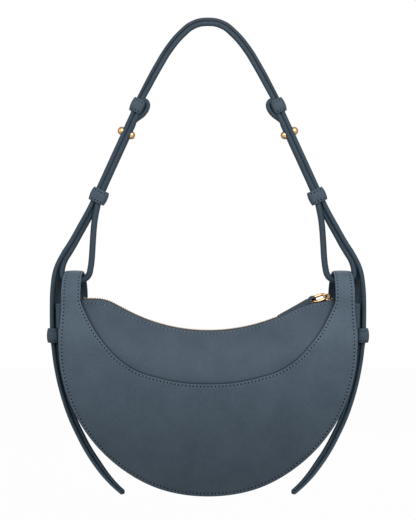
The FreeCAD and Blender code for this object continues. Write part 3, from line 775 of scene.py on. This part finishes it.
def insetPoint(x, row, step, back):
    top = mouthZ(x, insetForm["fall"])
    seam = insetForm["leftSeam" if x < 0 else "rightSeam"]
    spread = 1.0 + seam * smoothStep((abs(x) - insetForm["seamFrom"]) / insetForm["seamOver"])
    if row < len(insetRows):
        z = top - insetRows[row] * spread
        sink = edgeRelief(insetRows[row], insetForm["stitch"], insetEdge)
    else:
        z = top - insetRows[-1] * spread + (insetLow(x) - top + insetRows[-1] * spread) * step
        sink = 0.0
    return frontOrBack(Vector((x, upperY(x, z) - sink, z)), back)


coverLine = innerEdge(0.0)


def coverShade(point):
    # Painted shadow: the crescent's edge casts a dark line on the inset panel.
    for a, b in zip(coverLine, coverLine[1:]):
        if a.x <= point.x < b.x:
            t = (b - a).normalized()
            d = (point - a).dot(Vector((-t.z, 0, t.x)))
            return -insetForm["shade"] * softHump(d - insetForm["shadeAt"], insetForm["shadeWidth"])
    return 0.0


def makeInset(name, back, nodes):
    total = len(insetRows) - 1 + insetForm["deepRows"]

    def place(u, v):
        row = round(v * total)
        step = max(row - len(insetRows) + 1, 0) / insetForm["deepRows"]
        return insetPoint((u * 2 - 1) * insetForm["endX"], row, step, back)

    def tone(u, v):
        point = place(u, v)
        return coverShade(Vector((point.x, 0, point.z)))

    bm = gridMesh(insetForm["columns"], total, place, tone=tone)
    faceOut(bm, lambda c: Vector((0, 1 if back else -1, 0.2)))
    makePiece(bm, name, "inset", "bag", nodes, bagForm["leather"], insetForm["rim"])


def insetSeam(back):
    row = insetRows.index(insetForm["stitch"])
    half = insetForm["sewHalf"]
    line = [insetPoint(-half + 2 * half * k / 160, row, 0, back) for k in range(161)]
    return [(line, Vector((0, insetForm["sewOut"] if back else -insetForm["sewOut"], insetForm["sewUp"])))]


makeInset("frontInset", False, ("front_upper_panel",))
makeInset("backInset", True, ("back_upper_panel",))
sewPieces("frontInset", "bag", "inset", insetSeam(False), insetStitch)
sewPieces("backInset", "bag", "inset", insetSeam(True), insetStitch)

gussetForm = {"inset": 3.0, "bulge": 6.2, "press": 0.24, "pressOver": 0.12, "rim": 0.4}
liningForm = {"half": 123.0, "drop": 6.2, "radius": 137.1, "inside": 2.3, "gussetInside": 2.25, "thick": 0.8}
hemForm = {"length": 24.0, "half": 23.5, "rise": 1.45, "thick": 1.2, "sewDown": 0.14, "sewMargin": 0.08}


def gussetHalf(z):
    return bodyHalf(z) - bagForm["leather"] - bagForm["gap"]


def gussetLift(z):
    # The gusset stands out a little more towards its top.
    return clampTo((z - centerZ) / (bagForm["gussetTop"] - centerZ), 0.0, 1.0)


def gussetPoint(s, across, inside):
    # s runs from the left hem to the right one; across is -1 to 1 in depth.
    straight = bagForm["gussetTop"] - centerZ
    bowl = math.pi * bagRadius
    run = s * (2 * straight + bowl)
    edge = bagRadius - gussetForm["inset"] - inside
    crown = gussetForm["bulge"] * (1.0 - across * across)
    if run < straight or run > straight + bowl:
        side = -1 if run < straight else 1
        z = bagForm["gussetTop"] - (run if side < 0 else 2 * straight + bowl - run)
        x = edge + crown + gussetLift(z) * (1 - across * across)
        return Vector((side * x, across * gussetHalf(z), z))
    a = math.pi + (run - straight) / bagRadius
    press = gussetForm["press"] * smoothStep(abs(math.sin(a)) / gussetForm["pressOver"])
    r = edge + crown * (1.0 - press)
    return Vector((r * math.cos(a), across * gussetHalf(centerZ), centerZ + r * math.sin(a)))


def makeStrip(name, finish, inside, thick, rim, nodes):
    bm = gridMesh(150, 18, lambda u, v: gussetPoint(u, v * 2 - 1, inside))
    faceOut(bm, lambda c: Vector((c.x, 0, min(c.z - centerZ, 0.0))))
    makePiece(bm, name, finish, "bag", nodes, thick, rim)


makeStrip("gussetStrip", "panel", 0.0, bagForm["leather"], gussetForm["rim"], ("gusset",))
makeStrip("gussetLining", "lining", liningForm["gussetInside"], liningForm["thick"], 0.0, ("lining_gusset",))

for back, word in ((False, "front"), (True, "back")):
    def liningPlace(u, v, back=back):
        x = (u * 2 - 1) * liningForm["half"]
        top = mouthZ(x, liningForm["drop"])
        low = centerZ - math.sqrt(liningForm["radius"] ** 2 - x * x)
        z = top + (low - top) * v
        return frontOrBack(Vector((x, upperY(x, z) + liningForm["inside"], z)), back)
    bm = gridMesh(60, 30, liningPlace)
    faceOut(bm, lambda c: Vector((0, 1 if back else -1, 0)))
    makePiece(bm, word + "Lining", "lining", "bag", ("lining_" + word,), liningForm["thick"])

for side, word in sides:
    def hemPlace(u, v, side=side):
        z = bagForm["gussetTop"] - hemForm["length"] * u
        y = (v * 2 - 1) * hemForm["half"]
        share = y / gussetHalf(z)
        x = bagRadius - gussetForm["inset"] + (gussetForm["bulge"] + gussetLift(z)) * (1 - share * share)
        return Vector((side * (x + hemForm["rise"]), y, z))
    outward = Vector((side, 0, 0))
    bm = gridMesh(10, 16, hemPlace)
    faceOut(bm, lambda c: outward)
    makePiece(bm, "gussetHem_" + word, "hem", "bag", ("gusset_tab_" + word,),
              hemForm["thick"], gussetForm["rim"])
    margin = hemForm["sewMargin"]
    line = [hemPlace(hemForm["sewDown"], margin + (1 - 2 * margin) * k / 20) for k in range(21)]
    sewPieces("gussetHem_" + word, "bag", "keeper", [(line, outward)])
print("stage: inset panels, gusset and linings")


# Suede facings and the back horn's wings

facingForm = {"radius": 26.4, "thick": 0.9, "rim": 0.3, "margin": 0.3, "leg": 15.0, "legShare": 0.15}
wingForm = {"turn": 62.0, "lap": 5.0, "corner": 4.0, "cornerShare": 0.16, "thick": 1.6, "rim": 0.4}


def archPoint(x, r, a, drop=0.0):
    return Vector((x, -r * math.cos(a), hornBase + r * math.sin(a) - drop))


for side, word in sides:
    def facingPlace(u, v, side=side):
        legs = facingForm["legShare"]
        a = math.pi * clampTo((u - legs) / (1 - 2 * legs), 0.0, 1.0)
        leg = facingForm["leg"] * max(legs - u, u - (1 - legs), 0.0) / legs
        x = archInner(a) + facingForm["margin"] + (archOuter(a) - archInner(a) - 2 * facingForm["margin"]) * v
        return archPoint(side * x, facingForm["radius"], a, leg)
    bm = gridMesh(60, 8, facingPlace)
    faceOut(bm, lambda c: Vector((0, c.y, max(c.z - hornBase, 0.0))))
    makePiece(bm, "hornFacing_" + word, "suede", "bag", ("horn_facing_" + word,),
              facingForm["thick"], facingForm["rim"])

    def wingPlace(u, v, side=side):
        # The outer part of the back horn bends forward with the arch.
        a = math.pi - math.radians(wingForm["turn"]) * u
        turn = clampTo((u - (1 - wingForm["cornerShare"])) / wingForm["cornerShare"], 0.0, 1.0)
        outer = bagForm["backHornOuter"] - wingForm["corner"] * (1 - math.sqrt(1 - turn * turn))
        inner = archOuter(a) - wingForm["lap"]
        return archPoint(side * (inner + (outer - inner) * v), bagForm["archRadius"] - bagForm["gap"], a)
    bm = gridMesh(26, 10, wingPlace)
    faceOut(bm, lambda c: Vector((0, 1, 0.3)))
    suedeInside(makePiece(bm, "backHornWing_" + word, "panel", "bag", ("back_horn_wing_" + word,),
                          wingForm["thick"], wingForm["rim"]))
print("stage: horn facings")


# Strap

strapForm = {"width": 10.0, "thick": 4.8, "topSize": 1.06, "twist": 48.0, "twistFade": 0.2, "twistOver": 0.16,
             "dropX": 155.4, "runStart": (74.1, -85.63), "runAngle": 65.45,
             "turn": {"start": 0.0, "twist": 20.0, "from": 0.45, "over": 0.35}}
tailForm = {"width": 8.4, "thick": 4.2, "groove": 0.5, "size": 1.03, "pare": 0.3, "pareFrom": 0.74,
            "tipFrom": 0.985, "tipLength": 0.0152,
            "turn": {"start": 42.0, "twist": 18.0, "from": 0.15, "over": 0.5}}
rollForm = {"radius": 3.15, "offset": 4.55, "depth": 2.6, "slim": 0.11, "slimTo": 0.27, "slimOver": 0.05,
            "endPare": 0.45, "endOver": 0.014, "seamAt": 20, "seamDepth": 0.5}
foldForm = {"width": 9.0, "thick": 4.4, "tuckWidth": 5.6, "tuckThick": 4.4, "tuckShade": -0.7}
runAngle = math.radians(strapForm["runAngle"])
runDir = Vector((math.cos(runAngle), 0, -math.sin(runAngle)))
runOut = Vector((-runDir.z, 0, runDir.x))


def runPoint(z):
    # A point on the straight part between the upper and the lower keeper.
    x, top = strapForm["runStart"]
    return Vector((x, 0, top)) + runDir * ((top - z) / -runDir.z)


def spunDir(line, degrees):
    # Width direction of a band that leans from straight back towards its outer side.
    dirs = []
    for i, t in enumerate(tangentsOf(line)):
        over = t.cross(yAxis).normalized()
        a = math.radians(degrees(i / (len(line) - 1)))
        dirs.append(yAxis * math.cos(a) + over * math.sin(a))
    return dirs


def strapPiece(name, points, steps, profile, body, nodes=(), turn=None, sizeAt=None):
    line = smoothLine(points, steps)
    bm = sweepBand(line, profile, spunDir(line, turn) if turn else None, sizeAt)
    return makePiece(bm, name, "strap", body, nodes)


def turning(side, form):
    # The band turns over on its way, the other way round on the other side.
    return lambda u: -side * (form["start"] + form["twist"] * smoothStep((u - form["from"]) / form["over"]))


def topTwist(u):
    fade = strapForm["twistFade"]
    return strapForm["twist"] * (1 - fade + fade * smoothStep(min(u, 1 - u) / strapForm["twistOver"]))


topHalf = flatPoints([(14.4, 1.2), (26.3, -7.9), (38.7, -22.6), (49.3, -39.7), (61.4, -61.8), (70.2, -78.5)])
topPoints = flipped(reversed(topHalf), -1) + [Vector((0, 0, 4.07))] + topHalf
beads = beadPair(strapForm["width"], strapForm["thick"])
strapPiece("strapTop", topPoints, 150, beads, "strap", ("strap_top",), topTwist, lambda u: strapForm["topSize"])

sidePoints = [runPoint(z) for z in (-75, -105, -135, -164)]
sidePoints += flatPoints([(116.9, -179.6), (127.4, -199.2), (136.7, -216.2), (144.6, -229.2), (151.2, -243.6),
                          (154.0, -260.3), (154.8, -282), (154.3, -317.0)])
tailPoints = flatPoints([(153.9, -313.0), (152.6, -323.9), (151.4, -333.7), (149.4, -345.5), (146.6, -358.3),
                         (143.0, -371.1), (139.1, -382.9), (134.4, -394.7), (127.8, -408.5), (120.6, -422.2),
                         (111.1, -437.0), (99.9, -451.9), (90.2, -462.0), (83.6, -467.7)])
# down the front of the run, under the horn's arch and back up behind
rollIn = runOut * -rollForm["offset"]
rollPoints = [runPoint(z) + rollIn - yAxis * rollForm["depth"] for z in (-83.0, -104, -122, -148, -168)]
rollPoints += vectors([
    (111.6, -2.6, -186), (113.2, -2.2, -195), (114.1, -1.6, -203), (115.2, -1.0, -218), (116.3, -0.5, -234),
    (117.4, -0.2, -242), (119.6, 0, -249.6), (124.5, 0, -253.6), (131.0, 0, -255.0), (139.0, 0, -254.6),
    (145.0, 0, -251.2), (146.2, 0.4, -245.5), (145.2, 0.6, -239.5), (143.2, 0.8, -234.1), (138.4, 1.2, -226.1),
    (133.7, 1.6, -218.1), (129.4, 2.0, -210.1), (124.9, 2.4, -202.1), (116.6, 2.7, -187.0)])
rollPoints += [runPoint(z) + rollIn + yAxis * rollForm["depth"] for z in (-168, -148, -122, -92)]
foldPoints = vectors([(78.0, 2.6, -96.0), (74.0, 2.2, -95.0), (69.6, 1.2, -92.2), (64.4, 0.4, -88.2),
                      (60.4, 0, -81.8), (60.1, 0, -77.8), (62.2, 0, -75.0), (66.4, 0, -74.4)])
tuckPoints = vectors([(73.6, 1.6, -93.4), (69.4, 1.6, -88.6), (65.2, 1.6, -83.8), (63.6, 1.6, -78.2)])


def tailSize(u):
    # full width, then a pared round tip
    size = tailForm["size"] - tailForm["pare"] * smoothStep((u - tailForm["pareFrom"]) / (1 - tailForm["pareFrom"]))
    return size * math.sqrt(max(1 - (max(u - tailForm["tipFrom"], 0.0) / tailForm["tipLength"]) ** 2, 0.01))


def rollSize(u):
    # the rolled strap is slimmer on the run, and both its ends are pared thin
    end = min(u, 1 - u)
    slim = 1 - rollForm["slim"] * smoothStep((rollForm["slimTo"] - end) / rollForm["slimOver"])
    return slim * (1 - rollForm["endPare"] + rollForm["endPare"] * smoothStep(end / rollForm["endOver"]))


tailBeads = beadPair(tailForm["width"], tailForm["thick"], groove=tailForm["groove"])
foldBand = flatBand(foldForm["width"], foldForm["thick"])
# painted shade: a band put in the shaded gap behind the fold, darkened all over
shadedTuckBand = [(p[0], p[1], foldForm["tuckShade"]) for p in flatBand(foldForm["tuckWidth"], foldForm["tuckThick"])]

for side, word in sides:
    piece = strapPiece("strapSide_" + word, flipped(sidePoints, side), 130, beads, None,
                       ("strap_run_" + word, "strap_drop_" + word), turning(side, strapForm["turn"]))
    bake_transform(piece)
    piece = strapPiece("strapTail_" + word, flipped(tailPoints, side), 90, tailBeads, None,
                       ("strap_tail_" + word,), turning(side, tailForm["turn"]), tailSize)
    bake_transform(piece)
    roll = rolledRound(rollForm["radius"], rollForm["seamAt"] * side, rollForm["seamDepth"])
    strapPiece("hornStrap_" + word, flipped(rollPoints, side), 170, roll, "strap", ("horn_strap_" + word,),
               sizeAt=rollSize)
    strapPiece("strapEnd_" + word, flipped(foldPoints, side), 40, foldBand, "strap", ("strap_end_" + word,))
    strapPiece("strapShadedTuck_" + word, flipped(tuckPoints, side), 24, shadedTuckBand, "strap")
print("stage: strap")


# Keepers

keeperForm = {
    "upper": {"z": -79.7, "length": 14.3, "across": 12.2, "deep": 13.7, "shift": -1.2, "wall": 1.6},
    "lower": {"z": -168.9, "length": 14.2, "across": 15.7, "deep": 15.0, "shift": -3.35, "wall": 1.6},
    "side": {"z": -309.4, "length": 14.6, "across": 10.5, "deep": 14.9, "shift": -0.9, "wall": 2.2},
}
keeperBand = {"corner": 3.4, "swell": 1.2, "rim": 0.6, "sewInset": 2.5, "sewRise": 0.68, "sewMargin": 3.0}
keeperStitch = dict(stitchForm, pitch=3.3, length=1.8, width=0.6, hole=0.66)


def makeKeeper(name, center, along, out, form, body, nodes):
    # A leather band round the straps, its corners soft, sewn along both edges.
    bm = bmesh.new()

    def offAxis(point):
        return point - center - along * (point - center).dot(along)

    def alongEdges():
        return [e for e in bm.edges if abs((e.verts[0].co - e.verts[1].co).normalized().dot(along)) > 0.9]

    basis = Matrix((out * form["across"], yAxis * form["deep"], along * form["length"])).transposed().to_4x4()
    bmesh.ops.create_cube(bm, size=1.0, matrix=Matrix.Translation(center) @ basis)
    bm.normal_update()
    ends = [f for f in bm.faces if abs(f.normal.dot(along)) > 0.9]
    bmesh.ops.delete(bm, geom=ends, context="FACES_ONLY")
    bevelEdges(bm, alongEdges(), keeperBand["corner"], 6)
    bmesh.ops.subdivide_edges(bm, edges=alongEdges(), cuts=6, use_grid_fill=True)
    for vert in bm.verts:
        run = (vert.co - center).dot(along) / (0.5 * form["length"])
        vert.co += offAxis(vert.co).normalized() * (keeperBand["swell"] * (1 - run ** 2))
    faceOut(bm, offAxis)
    makePiece(bm, name, "keeper", body, nodes, form["wall"], keeperBand["rim"])
    half = 0.5 * form["across"] - keeperBand["sewMargin"]
    rows = []
    for end in (-1, 1):
        for face in (-1, 1):
            at = center + along * (end * (0.5 * form["length"] - keeperBand["sewInset"]))
            at += yAxis * (face * (0.5 * form["deep"] + keeperBand["sewRise"]))
            rows.append(([at + out * (half * (k / 6 - 1)) for k in range(13)], yAxis * face))
    sewPieces(name, body, "keeper", rows, keeperStitch)


for side, word in sides:
    along = Vector((side * runDir.x, 0, runDir.z))
    out = Vector((side * runOut.x, 0, runOut.z))
    for level, body in (("upper", "strap"), ("lower", "keeper_" + word)):
        form = keeperForm[level]
        middle = runPoint(form["z"]) + runOut * form["shift"]
        middle.x *= side
        makeKeeper(level + "Keeper_" + word, middle, along, out, form, body, (level + "_keeper_" + word,))
    form = keeperForm["side"]
    middle = Vector((side * (strapForm["dropX"] + form["shift"]), 0, form["z"]))
    makeKeeper("sideKeeper_" + word, middle, Vector((0, 0, -1)), Vector((side, 0, 0)), form, "bag",
               ("side_keeper_" + word,))
print("stage: keepers")


# Studs

studForm = {"z": -106.2, "ball": 4.3, "outer": 2.9, "inner": -7.4, "rings": 14, "steps": 28, "neck": 1.5,
            "collar": 0.9, "neckLength": 1.2, "neckSunk": 0.2, "slotHalf": 0.5, "slotDeep": 0.5, "slotFrom": 0.9}


def makeStud(name, center, axis, nodes, slotted):
    # A turned ball on a short neck; the cap side has the screw's slot.
    ball = studForm["ball"]
    bm = bmesh.new()
    turns = [math.pi * k / studForm["rings"] for k in range(studForm["rings"] + 1)]
    profile = [bm.verts.new((ball * math.sin(a), 0, ball * math.cos(a))) for a in turns]
    edges = [bm.edges.new((a, b)) for a, b in zip(profile, profile[1:])]
    bmesh.ops.spin(bm, geom=profile + edges, cent=(0, 0, 0), axis=(0, 0, 1), dvec=(0, 0, 0),
                   angle=2 * math.pi, steps=studForm["steps"], use_merge=True, use_duplicate=False)
    bmesh.ops.remove_doubles(bm, verts=bm.verts, dist=1e-4)
    if slotted:
        for vert in bm.verts:
            if vert.co.z > ball * studForm["slotFrom"] and abs(vert.co.x) < studForm["slotHalf"]:
                vert.co.z -= studForm["slotDeep"]
    bmesh.ops.create_cone(bm, cap_ends=True, segments=24, radius1=studForm["neck"] + studForm["collar"],
                          radius2=studForm["neck"], depth=studForm["neckLength"],
                          matrix=Matrix.Translation((0, 0, -ball + studForm["neckSunk"])))
    bmesh.ops.recalc_face_normals(bm, faces=bm.faces)
    turn = Vector((0, 0, 1)).rotation_difference(axis).to_matrix().to_4x4()
    moveMesh(bm, Matrix.Translation(center) @ turn)
    makePiece(bm, name, "gold", "strap", nodes)


for side, word in sides:
    out = Vector((side * runOut.x, 0, runOut.z))
    point = runPoint(studForm["z"])
    point.x *= side
    makeStud("studBase_" + word, point + out * studForm["outer"], out, ("stud_base_" + word,), False)
    makeStud("studCap_" + word, point + out * studForm["inner"], out * -1, ("stud_cap_" + word,), True)
print("stage: studs")


# Zip

toothForm = {"pitch": 2.5, "size": (1.05, 3.2, 2.5), "bevel": 0.25, "lap": 0.8, "drop": 1.1, "margin": 2.0}
tapeForm = {"start": 0.9, "width": 8.6, "fall": 2.0, "rise": 0.4, "thick": 0.8, "ridge": 0.35, "ridgeAt": 3.1,
            "ridgeWidth": 0.7}
stopForm = {"size": (1.8, 5.0, 1.2), "rise": 1.0, "left": 0.6, "right": 1.4, "rim": 0.35}
sliderForm = {
    "x": 117.4, "z": -273.8, "slope": 20.0, "clear": 4.5, "taper": 0.68, "corner": 0.6, "rim": 0.25,
    "plateSize": (11.0, 7.2, 0.9), "plateZ": (1.95, -2.6),
    "flangeSize": (7.6, 0.8, 1.3), "flangeX": 1.4, "flangeY": 3.15, "flangeZ": (1.0, -1.6),
    "postSize": (1.6, 1.4, 3.6), "postAt": (3.0, 0, -0.35), "bailWidth": 2.6, "bailThick": 1.3,
    "bail": [(-0.6, 2.0), (-0.5, 3.5), (0.3, 4.9), (1.9, 5.3), (3.5, 4.9), (4.3, 3.5), (4.4, 2.0)],
}
zipSteps = 800

zipSpan = zipForm["rightEnd"] - zipForm["leftEnd"]
zipLine = [Vector((zipForm["leftEnd"] + zipSpan * k / 600, 0, 0)) for k in range(601)]
for point in zipLine:
    point.z = zipZ(point.x)
zipLength = lineLength(zipLine)
zipLine = evenLine(zipLine, zipSteps)


def zipAt(run):
    # Point and slope of the zip at a distance from its left end.
    at = clampTo(run / zipLength, 0.0, 1.0) * zipSteps
    k = min(int(at), zipSteps - 1)
    point = zipLine[k].lerp(zipLine[k + 1], at - k)
    step = zipLine[k + 1] - zipLine[k]
    return point, math.atan2(step.z, step.x)


def zipMatrix(point, slope):
    return Matrix.Translation(point) @ Matrix.Rotation(-slope, 4, "Y")


bm = bmesh.new()
addBox(bm, (0, 0, 0), toothForm["size"])
bevelEdges(bm, list(bm.edges), toothForm["bevel"], 1)
toothMesh = bpy.data.meshes.new("tooth")
bm.to_mesh(toothMesh)
bm.free()

for row, side, word in ((0, -1, "front"), (1, 1, "back")):
    # the two rows interlock, the back one a little lower
    halfPitch = 0.5 * toothForm["pitch"]
    shift = Matrix.Translation((0, side * toothForm["lap"], -toothForm["drop"] * row))
    bm = bmesh.new()
    for i in range(row, int((zipLength - 2 * toothForm["margin"]) / halfPitch), 2):
        point, slope = zipAt(toothForm["margin"] + i * halfPitch)
        if abs(point.x - sliderForm["x"]) < sliderForm["clear"]:
            continue
        before = len(bm.verts)
        bm.from_mesh(toothMesh)
        bm.verts.ensure_lookup_table()
        bmesh.ops.transform(bm, matrix=zipMatrix(point, slope) @ shift, verts=bm.verts[before:])
    makePiece(bm, "zipTeeth_" + word, "teeth", "bag", ("zip_teeth_" + word,), smooth=False)

    def tapePlace(u, v, side=side):
        point, slope = zipAt(u * zipLength)
        out = Vector((-math.sin(slope), 0, math.cos(slope)))
        across = tapeForm["start"] + (tapeForm["width"] - tapeForm["start"]) * v
        ridge = tapeForm["ridge"] * softHump(across - tapeForm["ridgeAt"], tapeForm["ridgeWidth"])
        return point + yAxis * (side * across) + out * (tapeForm["rise"] + ridge - tapeForm["fall"] * v)

    bm = gridMesh(170, 16, tapePlace)
    faceOut(bm, lambda c: Vector((0, 0, 1)))
    makePiece(bm, "zipTape_" + word, "tape", "bag", ("zip_tape_" + word,), tapeForm["thick"])
bpy.data.meshes.remove(toothMesh)

bm = bmesh.new()
for run in (stopForm["left"], zipLength - stopForm["right"]):
    addBox(bm, (0, 0, stopForm["rise"]), stopForm["size"], zipMatrix(*zipAt(run)))
makePiece(bm, "zipStops", "gold", "bag", ("zip_stops",), 0.0, stopForm["rim"], smooth=False)

# two plates, narrower at the closed end, with flanges, a post and a bail
bm = bmesh.new()
for z in sliderForm["plateZ"]:
    for vert in addBox(bm, (0, 0, z), sliderForm["plateSize"]):
        if vert.co.x < 0:
            vert.co.y *= sliderForm["taper"]
for side in (-1, 1):
    for z in sliderForm["flangeZ"]:
        addBox(bm, (sliderForm["flangeX"], side * sliderForm["flangeY"], z), sliderForm["flangeSize"])
addBox(bm, sliderForm["postAt"], sliderForm["postSize"])
upright = [e for e in bm.edges if abs(e.verts[0].co.z - e.verts[1].co.z) > 0.5]
bevelEdges(bm, upright, sliderForm["corner"], 3)
bailLine = smoothLine(flatPoints(sliderForm["bail"]), 30)
joinInto(bm, sweepBand(bailLine, flatBand(sliderForm["bailWidth"], sliderForm["bailThick"])))
bmesh.ops.recalc_face_normals(bm, faces=bm.faces)
sliderPoint = Vector((sliderForm["x"], 0, sliderForm["z"]))
moveMesh(bm, zipMatrix(sliderPoint, math.radians(sliderForm["slope"])))
makePiece(bm, "zipSlider", "gold", "slider", ("zip_slider",), 0.0, sliderForm["rim"], smooth=False)

ringForm = {"at": (118.2, 0, -269.9), "length": 17.4, "width": 13.4, "wire": 3.0, "lean": 28.0, "tilt": 18.0}
tabForm = {"tilt": 29.8, "rise": 0.9, "gap": 0.25, "width": 9.4, "thick": 3.2, "eyeWidth": 5.5, "eyeThick": 1.2,
           "tipStart": 0.15, "tipOver": 0.06, "taper": 0.1}


def leanedPlace(at, tilt):
    return (Matrix.Translation(at) @ Matrix.Rotation(-math.radians(tilt), 4, "Y")
            @ Matrix.Rotation(math.radians(ringForm["lean"]), 4, "X"))


ringBase = Vector(ringForm["at"])
ringRadius = 0.5 * (ringForm["width"] - ringForm["wire"])
ringFlat = ringForm["length"] - ringForm["width"]


def ringPlace(u, v):
    a = 2 * math.pi * u
    b = 2 * math.pi * v
    mid = Vector((-ringRadius - (ringFlat if math.cos(a) < 0 else 0), 0, 0))
    out = Vector((math.cos(a), math.sin(a), 0))
    half = 0.5 * ringForm["wire"]
    return mid + out * (ringRadius + half * math.cos(b)) + Vector((0, 0, half * math.sin(b)))


bm = gridMesh(64, 14, ringPlace, closed=True)
bmesh.ops.recalc_face_normals(bm, faces=bm.faces)
moveMesh(bm, leanedPlace(ringBase, ringForm["tilt"]))
makePiece(bm, "zipPullRing", "gold", "ring", ("zip_pull_ring",))


def tabSize(u):
    tip = math.sqrt(min(1.0, tabForm["tipStart"] + u / tabForm["tipOver"]))
    return tip * (1 - tabForm["taper"] + tabForm["taper"] * u)


tilt = math.radians(ringForm["tilt"])
reach = ringForm["length"] - ringForm["wire"] - tabForm["gap"]
tabBase = ringBase - Vector((math.cos(tilt), 0, math.sin(tilt))) * reach
tabBase.z += tabForm["rise"]
tabPoints = vectors([(-40.0, -1.8, 2.1), (-28, -1.6, 1.6), (-16, -1.0, 0.95), (-5.0, 0, 0.3)])
eyePoints = flatPoints([(-6.4, 0.7), (-3.2, 1.9), (0, 2.5), (2.2, 1.2),
                        (2.2, -1.2), (0, -2.5), (-3.2, -1.9), (-6.4, -0.7)])
bm = sweepBand(smoothLine(tabPoints, 50), flatBand(tabForm["width"], tabForm["thick"]), sizeAt=tabSize)
joinInto(bm, sweepBand(smoothLine(eyePoints, 40), flatBand(tabForm["eyeWidth"], tabForm["eyeThick"])))
moveMesh(bm, leanedPlace(tabBase, tabForm["tilt"]))
makePiece(bm, "zipPullTab", "pull", "pull", ("zip_pull_tab",))
print("stage: zip")


# Floor, light and camera

stageForm = {"floorZ": -0.56, "floorSize": 6.0, "floorGray": 0.42, "floorRough": 0.9, "floorSeen": 0.97,
             "cameraY": -1.5, "cameraZ": -0.2341, "sensor": 36.0, "viewHeight": 0.52}
lightForm = {
    "above": 0.95, "below": 0.06, "skyFrom": -0.5, "skyTo": 0.8, "target": (0, 0, -0.3),
    "keyLamp": {"at": (0.2, -0.9, 0.25), "size": 0.8, "power": 7.5},
    "fillLamp": {"at": (-1.2, -0.9, 0.1), "size": 0.9, "power": 3.0},
    "backLamp": {"at": (0.3, 1.2, 0.2), "size": 0.9, "power": 5.0},
}


bm = bmesh.new()
bmesh.ops.create_grid(bm, x_segments=1, y_segments=1, size=stageForm["floorSize"] / 2)
bmesh.ops.translate(bm, vec=(0, 0, stageForm["floorZ"]), verts=bm.verts)
floorMesh = bpy.data.meshes.new("floor")
bm.to_mesh(floorMesh)
bm.free()
floor = addObject("floor", floorMesh)
# pale to the camera and in the metal, gray to the light
mat, tree, shader = newMaterial("paleFloor")
setInputs(shader, Base_Color=(*[stageForm["floorGray"]] * 3, 1), Roughness=stageForm["floorRough"])
rays = addNode(tree, "ShaderNodeLightPath").outputs
seen = addMath(tree, "MAXIMUM", rays["Is Camera Ray"], rays["Is Glossy Ray"])
mixed = addNode(tree, "ShaderNodeMixShader")
tree.links.new(addMath(tree, "MULTIPLY", seen, stageForm["floorSeen"]), mixed.inputs[0])
tree.links.new(shader.outputs[0], mixed.inputs[1])
tree.links.new(addNode(tree, "ShaderNodeEmission").outputs[0], mixed.inputs[2])
tree.links.new(mixed.outputs[0], tree.nodes["Material Output"].inputs["Surface"])
floorMesh.materials.append(mat)

world = bpy.data.worlds.new("studio")
bpy.context.scene.world = world
world.use_nodes = True
tree = world.node_tree
rays = addNode(tree, "ShaderNodeLightPath").outputs
seen = addMath(tree, "MAXIMUM", rays["Is Camera Ray"], rays["Is Glossy Ray"])
seen = addMath(tree, "MAXIMUM", seen, rays["Is Transmission Ray"])
# lit from above: bright overhead, dim from the floor's side
sky = setInputs(addNode(tree, "ShaderNodeSeparateXYZ"), Vector=addNode(tree, "ShaderNodeTexCoord").outputs["Generated"])
level = addRange(tree, sky.outputs["Z"], From_Min=lightForm["skyFrom"], From_Max=lightForm["skyTo"],
                 To_Min=lightForm["below"], To_Max=lightForm["above"])
setInputs(tree.nodes["Background"], Color=(1, 1, 1, 1), Strength=addRange(tree, seen, To_Min=level, To_Max=1.0))

for name in ("keyLamp", "fillLamp", "backLamp"):
    form = lightForm[name]
    data = bpy.data.lights.new(name, "AREA")
    data.shape = "SQUARE"
    data.size = form["size"]
    data.energy = form["power"]
    lamp = addObject(name, data)
    lamp.location = form["at"]
    lamp.rotation_euler = (Vector(lightForm["target"]) - Vector(form["at"])).to_track_quat("-Z", "Y").to_euler()

lens = bpy.data.cameras.new("camera")
lens.sensor_fit = "VERTICAL"
lens.sensor_height = stageForm["sensor"]
lens.lens = stageForm["sensor"] * -stageForm["cameraY"] / stageForm["viewHeight"]
camera = addObject("camera", lens)
camera.location = (0, stageForm["cameraY"], stageForm["cameraZ"])
camera.rotation_euler = (math.pi / 2, 0, 0)
bpy.context.scene.camera = camera
bpy.context.scene.view_settings.view_transform = "Standard"
print("stage: floor, light and camera")
